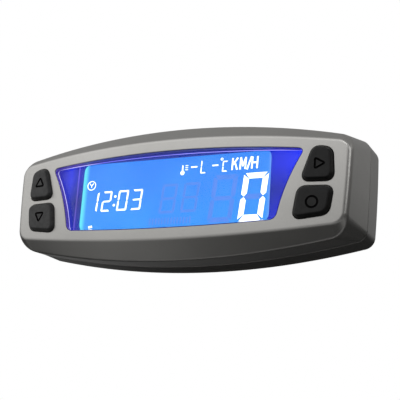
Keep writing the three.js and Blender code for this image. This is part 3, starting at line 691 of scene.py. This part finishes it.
def mask_glow():
    """Painted light: the bezel glows blue as if lit by the display, bright above and violet at mid
    height, with painted shade dark above and below the display and a painted highlight as a soft streak
    where its left end turns in towards the display."""
    dark = (0.005, 0.006, 0.06)
    f = Finish("mask_plastic", dark, 0.35, Specular_IOR_Level=0.1, Emission_Strength=0.85)
    # Painted light along the bezel's left end, with the lavender painted highlight streak near 0.82.
    left_stops = [
        (0.0, (0.01, 0.01, 0.4)),
        (0.5, (0.01, 0.03, 0.8)),
        (0.78, (0.005, 0.02, 0.5)),
        (0.82, (0.2, 0.16, 1.0)),
        (0.86, (0.01, 0.01, 0.55)),
        (1.0, (0.0, 0.04, 0.5)),
    ]
    left = f.ramp(f.ramp_axis("X", -TRAY_SIDE, VIEW["left"]), left_stops)
    right_stops = [(0.0, (0.0, 0.025, 0.66)), (0.2, (0.01, 0.03, 0.85)), (1.0, (0.015, 0.04, 1.1))]
    right = f.ramp(f.ramp_axis("X", VIEW["right"], TRAY_SIDE), right_stops)
    sides = f.mix(f.ramp_axis("X", low=-1, high=1), left, right)
    height = [(0.0, (0.85, 0.75, 0.9)), (0.45, (0.75, 0.65, 0.55)), (0.8, (1.1, 1.1, 1.1))]
    tone = f.times(sides, f.ramp(f.ramp_axis("Z", low=-13, high=13), height))
    # Painted shade: the tray above and below the display glows only a dark blue.
    near_display = f.ramp_axis("X", VIEW["left"] + 0.6, VIEW["right"] - 0.6)
    past_left = f.span(near_display, 0.0, 0.015, 0.0, 1.0)
    before_right = f.span(near_display, 0.985, 1.0, 1.0, 0.0)
    inner = f.mix(past_left, grey(0.0), f.mix(before_right, grey(0.0), grey(1.0)))
    streak = dict(detail=2.0, stretch=(1, 1, 0.12))
    streaks = f.mottle(150, (0.8, 0.8, 0.9), (1.1, 1.1, 1.05), 0.15, **streak)
    glow = f.times(tone, streaks)
    f.set("Emission Color", f.mix(inner, glow, (0.008, 0.03, 0.36)))
    return f.material


def lip_glow():
    """The bezel's front lip, a painted highlight that glows where it would catch the backlight: near
    white at the left, lavender above.
    """
    f = Finish("mask_lip", (0.3, 0.3, 0.8), 0.3, Emission_Strength=0.95)
    across = [
        (0.0, (0.95, 0.9, 1.0)),
        (0.14, (0.75, 0.65, 1.0)),
        (0.2, (0.22, 0.17, 0.85)),
        (1.0, (0.45, 0.4, 1.0)),
    ]
    tone = f.ramp(f.ramp_axis("X", -TRAY_SIDE, TRAY_SIDE), across)
    broken = f.mottle(40, (0.7, 0.7, 0.8), grey(1.1), 0.15, detail=2.0)
    return f.set("Emission Color", f.times(tone, broken)).material


def lens_edge():
    """The lens's edge: a dark border that glows navy with painted light from the display, violet towards
    its left end.
    """
    f = Finish("lens_edge", (0.01, 0.01, 0.05), 0.4, Emission_Strength=0.8)
    across = [
        (0.0, (0.06, 0.028, 0.4)),
        (0.2, (0.02, 0.01, 0.24)),
        (0.6, (0.008, 0.006, 0.13)),
        (1.0, (0.01, 0.008, 0.3)),
    ]
    tone = f.ramp(f.ramp_axis("X", -TRAY_SIDE, TRAY_SIDE), across)
    cloud = f.mottle(120, (0.7, 0.7, 0.8), (1.2, 1.2, 1.1), detail=2.0)
    return f.set("Emission Color", f.times(tone, cloud)).material


MATERIALS = {
    "case_paint": case_paint(),
    "key_rubber": key_rubber(),
    "key_mark": key_mark(),
    "seal_rubber": seal_rubber(),
    "bright_steel": bright_steel(),
    "insert_brass": insert_brass(),
    "lens_clear": lens_clear(),
    "light_guide_clear": light_guide_clear(),
    "display_glass": display_glass(),
    "display_film": backlit_film(),
    "mask_plastic": mask_glow(),
    "white_plastic": plastic("white_plastic", (0.7, 0.7, 0.67), (0.85, 0.85, 0.82), 0.4, 0.55),
    "board_green": board_green(),
    "chip_black": plastic("chip_black", (0.008, 0.008, 0.009), (0.02, 0.02, 0.022), 0.45, 0.6),
}

# ---- Case ----
FACE_LOOP = bar_outline(**FACE_OUTLINE)
CREASE_LOOP = bar_outline(**CREASE_OUTLINE)
PARTING_LOOP = bar_outline(**PARTING_OUTLINE)
WINDOW_LOOP = window_outline(**WINDOW)
VIEW_LOOP = rectangle(**VIEW)


def key_loop(corners, side):
    """A key's top face. side is 1 on the right and -1 on the left."""
    points = [(x * side, z) for x, z in corners]
    return polygon(points if side > 0 else points[::-1], KEY_CORNER)


def front_case():
    """The painted front shell, with its window, key openings, chamfer and rounded edges."""
    skin = Skin()
    rim = grown(FACE_LOOP, -FACE_ROUND)
    parting = PARTING[0]
    columns = []
    for (fx, fz), (sx, sz), (px, pz), (rx, rz) in zip(FACE_LOOP, CREASE_LOOP, PARTING_LOOP, rim):
        face = Vector((fx, FACE_Y + face_fall(fx), fz))
        run = math.hypot(sx - fx, sz - fz)
        crease = Vector((sx, face.y + run * CHAMFER_SLOPE, sz))
        slope = (crease - face).normalized()
        wall = (Vector((px, parting, pz)) - crease).normalized()
        start = Vector((rx, FACE_Y + face_fall(rx), rz))
        column = bezier(start, face, face + slope * FACE_ROUND, 6)
        column += bezier(crease - slope * CREASE_ROUND, crease, crease + wall * CREASE_ROUND, 6)
        columns.append(column)
    skin.loft([list(level) for level in zip(*columns)])
    inner_face = grown(FACE_LOOP, -INNER_FACE_INSET)
    skin.loft(
        [
            [column[-1] for column in columns],
            ring(PARTING_LOOP, flat(parting - EDGE_BREAK)),
            ring(grown(PARTING_LOOP, -EDGE_BREAK), flat(parting)),
            ring(grown(PARTING_LOOP, -WALL), flat(parting)),
            inner_crease(inner_face, grown(CREASE_LOOP, -WALL)),
            ring(inner_face, on_face(FRONT_WALL)),
        ]
    )
    openings = [(WINDOW_LOOP, WINDOW_ROUND)]
    for corners in (KEY_UPPER, KEY_LOWER):
        for side in (-1, 1):
            openings.append((grown(key_loop(corners, side), KEY_DRAFT + KEY_GAP), KEY_MOUTH_ROUND))
    for loop, radius in openings:
        rings = rounded_mouth(loop, radius, on_face)
        skin.loft(rings + [ring(loop, on_face(FRONT_WALL))])
    skin.crown(rim, [grown(loop, radius) for loop, radius in openings], on_face(0), clear=0.9)
    skin.crown(inner_face, [loop for loop, _ in openings], on_face(FRONT_WALL))
    skin.piece("front_shell", [MATERIALS["case_paint"]], ["front_case"])


def inner_crease(face, side):
    """Where the inside of the chamfer meets the inside of the side wall."""
    points = []
    for (fx, fz), (sx, sz) in zip(face, side):
        run = math.hypot(sx - fx, sz - fz)
        points.append(Vector((sx, FACE_Y + FRONT_WALL + face_fall(fx) + run * CHAMFER_SLOPE, sz)))
    return points


def hole_wall(skin, loop, mouth, bottom):
    """A hole's rounded mouth and straight wall, cut towards the front."""
    rings = rounded_mouth(loop, HOLE_ROUND, lambda depth: flat(mouth - depth))
    skin.loft(rings + [ring(loop, flat(bottom))])


def blind_hole(skin, loop, mouth, bottom):
    """A hole with a flat bottom."""
    hole_wall(skin, loop, mouth, bottom)
    skin.crown(loop, [], flat(bottom))


def centre_of(box):
    """The middle of a box as (x, z)."""
    return (box[0].x + box[1].x) / 2, (box[0].z + box[1].z) / 2


def mounting_pad(skin):
    """The raised pad, with the holes for its two inserts."""
    levels = [(grown(rectangle(**PAD), out), REAR_Y + up) for out, up in PAD_PROFILE]
    skin.loft([ring(loop, flat(y)) for loop, y in levels])
    holes = [circle(side * INSERT_X, 0, INSERT_HOLE_RADIUS) for side in (-1, 1)]
    skin.crown(levels[-1][0], [grown(hole, HOLE_ROUND) for hole in holes], flat(PAD_Y))
    for hole in holes:
        blind_hole(skin, hole, PAD_Y, REAR_Y - INSERT_FLOOR)


def rear_case():
    """The painted rear shell, with its rounded back, mounting pad and holes."""
    skin = Skin()
    outer = [ring(grown(PARTING_LOOP, -EDGE_BREAK), flat(PARTING[1]))]
    outer.append(ring(PARTING_LOOP, flat(PARTING[1] + EDGE_BREAK)))
    steps = 8
    for i in range(steps + 1):
        angle = math.pi / 2 * i / steps
        y = REAR_Y - REAR_EDGE * (1 - math.sin(angle))
        outer.append(ring(grown(PARTING_LOOP, -REAR_EDGE * (1 - math.cos(angle))), flat(y)))
    inner_loop = grown(PARTING_LOOP, -WALL)
    inner_back = grown(inner_loop, -INNER_REAR_EDGE)
    inner_y = REAR_Y - WALL
    inner = [ring(inner_back, flat(inner_y)), ring(inner_loop, flat(inner_y - INNER_REAR_EDGE))]
    skin.loft([*inner, ring(inner_loop, flat(PARTING[1])), *outer])
    back_outline = [(p.x, p.z) for p in outer[-1]]
    screw_holes = []
    for number in range(1, 7):
        box = node_box(f"case_screw_{number}")
        radius = (box[1].x - box[0].x) / 2 + SCREW_GAP
        screw_holes.append(circle(*centre_of(box), radius))
    gland_hole = circle(*centre_of(GLAND_BOX), GLAND_HOLE_RADIUS)
    mouths = [grown(hole, HOLE_ROUND) for hole in (gland_hole, *screw_holes)]
    pad_foot = grown(rectangle(**PAD), PAD_PROFILE[0][0])
    skin.crown(back_outline, [pad_foot, *mouths], flat(REAR_Y))
    for hole in screw_holes:
        blind_hole(skin, hole, REAR_Y, REAR_Y - SCREW_FLOOR)
    hole_wall(skin, gland_hole, REAR_Y, inner_y)
    skin.crown(inner_back, [gland_hole], flat(inner_y))
    mounting_pad(skin)
    skin.piece("rear_shell", [MATERIALS["case_paint"]], ["rear_case"])


# ---- Lens and display ----
def lens():
    """The clear window: flush with the case, with a dark edge that carries painted glow, and a flange
    behind it.
    """
    skin = Skin()
    plug = grown(WINDOW_LOOP, -LENS_GAP)
    face = grown(plug, -LENS_EDGE)
    flange = grown(WINDOW_LOOP, LENS_FLANGE["reach"])
    back = on_face(LENS_BACK)
    back_loop = grown(WINDOW_LOOP, -LENS_BACK_INSET)
    skin.crown(face, [], on_face(0), spacing=3.0)
    skin.crown(back_loop, [], back, spacing=3.0)
    rounding = [ring(face, on_face(0)), ring(grown(plug, -LENS_EDGE * 0.3), on_face(LENS_EDGE * 0.3))]
    skin.loft(rounding + [ring(plug, on_face(LENS_EDGE))])
    # The lens's sides take the lens_edge material, with its painted glow.
    skin.mark = 1
    sides = [ring(plug, on_face(LENS_EDGE)), ring(plug, on_face(LENS_FLANGE["front"]))]
    sides += [ring(flange, on_face(LENS_FLANGE["front"])), ring(flange, back)]
    skin.loft(sides + [ring(back_loop, back)])
    materials = [MATERIALS["lens_clear"], lens_edge()]
    skin.piece("window_lens", materials, ["lens"])


def bezel():
    """The tray between the lens and the display, painted as lit by the display, with a raised lip round
    its front that carries a painted highlight.
    """
    skin = Skin()
    outer = grown(WINDOW_LOOP, TRAY_REACH)
    lip = window_outline(**LIP)
    lip_inner = grown(lip, -LIP_WIDTH)
    lip_front, rim, tray = on_face(LIP_DEPTH), on_face(TRAY_RIM), on_face(TRAY_DEPTH)

    def back(x, z):
        return max(FILM_BOX[0].y - FILM_GAP, on_face(TRAY_BACK)(x, z))

    skin.crown(outer, [lip], rim)
    skin.loft([ring(lip, rim), ring(lip, lip_front)])
    # The lip's front takes the mask_lip material, a painted highlight.
    skin.mark = 1
    skin.loft([ring(lip, lip_front), ring(lip_inner, lip_front)])
    skin.mark = 0
    skin.loft([ring(lip_inner, lip_front), ring(lip_inner, tray)])
    skin.crown(lip_inner, [VIEW_LOOP], tray, spacing=2.0, clear=0.6)
    skin.loft([ring(VIEW_LOOP, tray), ring(VIEW_LOOP, back)])
    skin.crown(outer, [VIEW_LOOP], back, clear=0.8)
    skin.loft([ring(outer, back), ring(outer, rim)])
    materials = [MATERIALS["mask_plastic"], lip_glow()]
    skin.piece("display_bezel", materials, ["display_mask"])


def seven_segments(lit, place, width, height, stroke, slant):
    """The lit segments of a digit, whose lower left corner is at a place."""
    middle = height / 2
    gap = stroke * 0.06
    cut = stroke * 0.22
    inner = stroke + gap
    upper = [
        (width - stroke, height - inner),
        (width, height - cut - gap),
        (width, middle + stroke * 0.45 + gap),
        (width - stroke * 0.5, middle + gap),
        (width - stroke, middle + stroke * 0.55 + gap),
    ]
    top = [
        (cut + gap, height),
        (width - cut - gap, height),
        (width - inner, height - stroke),
        (inner, height - stroke),
    ]
    across = [
        (stroke * 0.5 + gap, middle),
        (inner, middle + stroke * 0.45),
        (width - inner, middle + stroke * 0.45),
        (width - stroke * 0.5 - gap, middle),
        (width - inner, middle - stroke * 0.45),
        (inner, middle - stroke * 0.45),
    ]

    def over(points):
        return [(x, height - z) for x, z in points]

    def aside(points):
        return [(width - x, z) for x, z in points]

    segments = dict(a=top, b=upper, c=over(upper), d=over(top), g=across)
    segments |= dict(e=aside(over(upper)), f=aside(upper))
    return [[(place[0] + x + slant * z, place[1] + z) for x, z in segments[key]] for key in lit]


def pen(lines, width, place=(0, 0), slant=0.0):
    """Polygons that draw lines with a pen: flat ends, and round joints between stretches."""
    polygons = []
    for line in lines:
        points = [Vector((place[0] + x + slant * z, place[1] + z)) for x, z in line]
        for start, end in zip(points, points[1:]):
            across = (end - start).normalized().orthogonal() * width / 2
            polygons.append([start + across, start - across, end - across, end + across])
        polygons += [circle(p.x, p.y, width / 2, 10) for p in points[1:-1]]
    return polygons


def round_line(x, z, radius, steps=20):
    """A closed circular line for the pen."""
    points = circle(x, z, radius, steps)
    return [*points, points[0], points[1]]


def speed_unit():
    """The letters of the speed unit, in bold strokes."""
    stroke, height, width = 0.62, 4.5, 2.6
    left, right, middle = stroke / 2, width - stroke / 2, width / 2
    post = [(left, 0), (left, height)]
    far_post = [(right, 0), (right, height)]
    arms = [[(left, height * 0.4), (right, height)], [(middle, height * 0.55), (right, 0)]]
    valley = [(left, height), (middle, height * 0.3), (right, height)]
    bar = [(left, height / 2), (right, height / 2)]
    oblique = [(0.1, -0.2), (1.5, height + 0.1)]
    letters = [
        (22.9, [post, *arms]),
        (26.0, [post, far_post, valley]),
        (28.9, [oblique]),
        (30.5, [post, far_post, bar]),
    ]
    polygons = []
    for x, lines in letters:
        polygons += pen(lines, stroke, (x, UNIT_BASE), 0.04)
    return polygons


def clock():
    """A round clock symbol, and the time with its colon."""
    x, z = CLOCK_SYMBOL
    hub = (x, z - 0.1)
    hands = [[(x - 0.85, z + 0.9), hub, (x + 0.85, z + 0.9)], [hub, (x, z - 0.8)]]
    shapes = pen([round_line(x, z, 1.72), *hands], 0.32)
    digits = [(-35.6, 4.1, "bc"), (-29.8, 3.9, "abged"), (-23.1, 4.3, "abcdef"), (-17.1, 4.2, "abgcd")]
    for left, width, lit in digits:
        shapes += seven_segments(lit, (left, CLOCK_BASE), width, **CLOCK_DIGIT)
    return shapes + [circle(-23.9, 0.2, 0.5, 12), circle(-24.2, -3.2, 0.5, 12)]


def readings():
    """A thermometer, a dash and an L, then a dash, the degree sign and a C."""
    x, z = THERMOMETER
    shapes = [circle(x, z, 0.85, 16)] + pen([[(x, z), (x, z + 2.9)]], 0.55)
    shapes += pen([[(x + 1.1, z + up), (x + 2.2, z + up)] for up in (1.1, 1.9, 2.7)], 0.3)
    shapes += pen([[(6.9, 9.46), (9.4, 9.46)], [(15.4, 9.43), (17.75, 9.43)]], 0.55)
    shapes += seven_segments("def", (10.7, READING_BASE), 2.3, 5.1, READING_STROKE, 0.05)
    shapes += seven_segments("adef", (19.3, READING_BASE), 2.15, 4.1, READING_STROKE, 0.04)
    return shapes + pen([round_line(19.1, 11.6, 0.42, 12)], 0.26)


def readout():
    """What the display shows: time, the mark below it, readings, speed unit and speed."""
    mark = pen([[(-34.4, -11.35), (-32.8, -11.1)]], 0.85)
    speed = seven_segments("abcdef", SPEED_PLACE, stroke=SPEED_STROKE, **SPEED_DIGIT)
    return [*clock(), *mark, *readings(), *speed_unit(), *speed]


def unlit_readout():
    """The segments that aren't lit: the speed's middle stroke, its other digits and a gauge."""
    shapes = seven_segments("g", SPEED_PLACE, stroke=SPEED_STROKE, **SPEED_DIGIT)
    shapes += seven_segments("abcdefg", (14.6, SPEED_PLACE[1]), stroke=1.7, **SPEED_DIGIT)
    for left in (3.6, -5.2):
        shapes += seven_segments("abcdefg", (left, -7.6), **UNLIT_DIGIT)
    for i in range(14):
        left = -8.5 + i * 1.25
        shapes += pen([[(left, -11.6), (left + 0.2, -9.3)]], 0.6)
    return shapes


def display():
    """The lit panel, and the segments on its front."""
    low, high = FILM_BOX
    panel = Skin()
    loop = [(low.x, low.z), (high.x, low.z), (high.x, high.z), (low.x, high.z)]
    panel.plates([loop], low.y, high.y)
    lit = MATERIALS["display_film"]
    panel.piece("display_panel", [lit], ["lcd_front_film"], smooth=False)
    front, back = (low.y - lift for lift in SEGMENT_LIFT)
    for name, shapes, material in (
        ("lit_segments", readout(), segment_light()),
        ("unlit_segments", unlit_readout(), segment_ghost()),
    ):
        skin = Skin()
        skin.plates(shapes, front, back)
        skin.piece(name, [material], smooth=False)


# ---- Keys ----
def symbol(kind, x, z):
    """The loop of a key's outline symbol, centred on a place."""
    if kind == "ring":
        return circle(x, z, RING_RADIUS, 32)
    turn = {"up": math.pi / 2, "down": -math.pi / 2, "right": 0.0}[kind]
    corners = arc((x, z), ARROW_RADIUS, turn, turn + math.tau, 3)
    return polygon(corners, ARROW_CORNER)


def key_sides(skin, rim, top, base):
    """A key's sloping sides, up to the rounded edge of its face. Gives the ring at their foot."""
    columns = []
    for (rx, rz), (tx, tz), (bx, bz) in zip(rim, top, base):
        inner = Vector((rx, on_face(-KEY_RISE)(rx, rz), rz))
        edge = Vector((tx, on_face(-KEY_RISE)(tx, tz), tz))
        foot = Vector((bx, on_face(-KEY_FOOT)(bx, bz), bz))
        slope = (foot - edge).normalized()
        columns.append(bezier(inner, edge, edge + slope * KEY_ROUND, 5) + [foot])
    skin.loft([list(level) for level in zip(*columns)])
    return [column[-1] for column in columns]


def key_inside(skin, foot, base, stem, stem_end):
    """The part of a key inside the case: a flange, and a stem whose centre is (x, z)."""
    flange = kept_side(grown(base, KEY_FLANGE["reach"]), stem[1] > KEY_SPLIT["z"])
    front, back = on_face(KEY_FLANGE["front"]), on_face(KEY_FLANGE["back"])
    skin.loft([foot, ring(base, front), ring(flange, front), ring(flange, back)])
    post = circle(*stem, STEM_RADIUS, 24)
    skin.crown(flange, [post], back)
    skin.loft([ring(post, back), ring(post, flat(stem_end))])
    skin.crown(post, [], flat(stem_end))


def key_face(skin, rim, mark):
    """A key's face, with a groove along its symbol."""
    outer, inner = grown(mark, GROOVE_WIDTH / 2), grown(mark, -GROOVE_WIDTH / 2)
    face, sunk = on_face(-KEY_RISE), on_face(GROOVE_DEPTH - KEY_RISE)
    skin.crown(rim, [outer], face, spacing=2.0, clear=0.5)
    skin.crown(inner, [], face, spacing=2.0, clear=0.5)
    # The symbol's groove takes the key_mark material, painted darker as shade in the groove.
    skin.mark = 1
    skin.loft([ring(outer, face), ring(outer, sunk), ring(inner, sunk), ring(inner, face)])


def key_cap(node, kind, corners, side):
    """A rubber key, on the body that its CAD node rides on."""
    skin = Skin()
    top = key_loop(corners, side)
    base = grown(top, KEY_DRAFT)
    rim = grown(top, -KEY_ROUND)
    foot = key_sides(skin, rim, top, base)
    x, z = STEMS["upper" if corners is KEY_UPPER else "lower"]
    key_inside(skin, foot, base, (x * side, z), node_box(node)[1].y)
    key_face(skin, rim, symbol(kind, *SYMBOLS[kind]))
    materials = [MATERIALS["key_rubber"], MATERIALS["key_mark"]]
    skin.piece(node + "_cap", materials, [node], node_body(node))


def kept_side(loop, above):
    """The part of a flange on its own side of the line between a pair's two keys."""
    limit = KEY_SPLIT["z"] + KEY_SPLIT["half_gap"] * (1 if above else -1)
    keep = max if above else min
    return [(x, keep(z, limit)) for x, z in loop]


def node_body(node):
    """The body that a CAD node rides on."""
    for body, nodes in frame["record"]["behaviour"]["bodies"].items():
        if node in nodes:
            return body
    raise KeyError(node)


front_case()
rear_case()
lens()
bezel()
display()
key_cap("key_up", "up", KEY_UPPER, -1)
key_cap("key_down", "down", KEY_LOWER, -1)
key_cap("key_right", "right", KEY_UPPER, 1)
key_cap("key_set", "ring", KEY_LOWER, 1)

# ---- Stage ----
# AIM is in millimetres: along the camera's own right, along Y from the face, and along its up.
AZIMUTH = math.radians(25.92)
ELEVATION = math.radians(-16.10)
ROLL = math.radians(3.98)
DISTANCE = 364.4
AIM = (7.45, 12.0, -0.2)
LENS_MM = 88.3
# The softbox fades in over SOFTBOX_SPREAD, the cosine between a direction and the box's own.
SOFTBOX_FROM = Vector((-0.55, -0.76, 0.36)).normalized()
SOFTBOX_SPREAD = (0.4, 0.97)
SOFTBOX_LEVEL = 1.2
# Levels of the light from 0, opposite to CANOPY_FROM, to 1, straight from it.
CANOPY_FROM = Vector((-0.15, 0.2, 0.93)).normalized()
LOW_BAND = greys((0.0, 0.02), (0.05, 0.05), (0.12, 0.34), (0.19, 0.5), (0.25, 0.02))
CANOPY_LEVELS = LOW_BAND + greys((0.55, 0.0), (0.66, 0.36), (1.0, 0.24))
FLOOR_HALF = 4.0
FLOOR_Z = -0.46


def camera():
    """A camera in front, to the right and a little below, tilted slightly."""
    level = math.cos(ELEVATION)
    back = Vector((math.sin(AZIMUTH) * level, -math.cos(AZIMUTH) * level, math.sin(ELEVATION)))
    right = (-back).cross(Vector((0, 0, 1))).normalized()
    up = right.cross(-back)
    aim = Vector((0, FACE_Y + AIM[1], 0)) + right * AIM[0] + up * AIM[2]
    data = bpy.data.cameras.new("camera")
    data.lens = LENS_MM
    data.sensor_width = 36
    data.clip_start = 0.01
    obj = bpy.data.objects.new("camera", data)
    bpy.context.collection.objects.link(obj)
    tilted_right = right * math.cos(ROLL) + up * math.sin(ROLL)
    tilted_up = up * math.cos(ROLL) - right * math.sin(ROLL)
    place = (aim + back * DISTANCE) * MM
    axes = Matrix((tilted_right, tilted_up, back)).transposed()
    obj.matrix_world = Matrix.Translation(place) @ axes.to_4x4()
    bpy.context.scene.camera = obj


def soft_light(name, position, size, power):
    """A rectangular area light that points at the object, with its place in metres."""
    data = bpy.data.lights.new(name, "AREA")
    data.shape = "RECTANGLE"
    data.size, data.size_y = size
    data.energy = power
    obj = bpy.data.objects.new(name, data)
    obj.location = position
    toward = Vector((0, -0.02, 0)) - Vector(position)
    obj.rotation_euler = toward.to_track_quat("-Z", "Y").to_euler()
    bpy.context.collection.objects.link(obj)


def floor():
    """A plain pale floor, far enough down to leave room for a camera below the object."""
    mesh = bpy.data.meshes.new("floor")
    size = FLOOR_HALF
    corners = [(x, y, FLOOR_Z) for x, y in ((-size, -size), (size, -size), (size, size), (-size, size))]
    mesh.from_pydata(corners, [], [(0, 1, 2, 3)])
    finish = Finish("floor", roughness=0.8)
    finish.set("Base Color", finish.mottle(6, grey(0.78), grey(0.82)))
    mesh.materials.append(finish.material)
    obj = bpy.data.objects.new("floor", mesh)
    bpy.context.collection.objects.link(obj)
    obj.visible_glossy = False
    obj.visible_diffuse = False


def world():
    """White behind the object, for the camera alone. The light comes from a large softbox at the
    front left and a canopy above, with a paler band low down and darkness round the horizon."""
    made = bpy.data.worlds.new("studio")
    made.use_nodes = True
    nodes, links = made.node_tree.nodes, made.node_tree.links
    seen = nodes.new("ShaderNodeBackground")
    seen.inputs["Color"].default_value = (1, 1, 1, 1)
    direction = nodes.new("ShaderNodeTexCoord").outputs["Generated"]

    def cosine_to(source):
        product = nodes.new("ShaderNodeVectorMath")
        product.operation = "DOT_PRODUCT"
        product.inputs[1].default_value = source
        links.new(direction, product.inputs[0])
        return product.outputs["Value"]

    canopy = nodes.new("ShaderNodeValToRGB")
    fill_ramp(canopy, CANOPY_LEVELS)
    place = nodes.new("ShaderNodeMapRange")
    set_range(place, -1, 1, 0, 1)
    links.new(cosine_to(CANOPY_FROM), place.inputs["Value"])
    links.new(place.outputs["Result"], canopy.inputs["Fac"])
    softbox = nodes.new("ShaderNodeMapRange")
    softbox.interpolation_type = "SMOOTHSTEP"
    set_range(softbox, *SOFTBOX_SPREAD, 0, SOFTBOX_LEVEL)
    links.new(cosine_to(SOFTBOX_FROM), softbox.inputs["Value"])
    total = nodes.new("ShaderNodeVectorMath")
    total.operation = "ADD"
    links.new(canopy.outputs["Color"], total.inputs[0])
    links.new(softbox.outputs["Result"], total.inputs[1])
    lit = nodes["Background"]
    links.new(total.outputs["Vector"], lit.inputs["Color"])
    path = nodes.new("ShaderNodeLightPath")
    blend = nodes.new("ShaderNodeMixShader")
    links.new(path.outputs["Is Camera Ray"], blend.inputs[0])
    links.new(lit.outputs[0], blend.inputs[1])
    links.new(seen.outputs[0], blend.inputs[2])
    links.new(blend.outputs[0], nodes["World Output"].inputs["Surface"])
    bpy.context.scene.world = made


camera()
floor()
world()
soft_light("front_light", (0.45, -1.0, 0.95), (0.6, 0.4), 2)
soft_light("right_light", (1.1, -0.5, 0.5), (0.5, 0.5), 2)
bpy.context.scene.view_settings.view_transform = "Standard"

# ---- Finishes on the CAD nodes ----
for entry in frame["record"]["subparts"]:
    node = frame["nodes"][entry["node"]]
    for slot in node.material_slots:
        slot.material = MATERIALS[entry["material_slot"]]
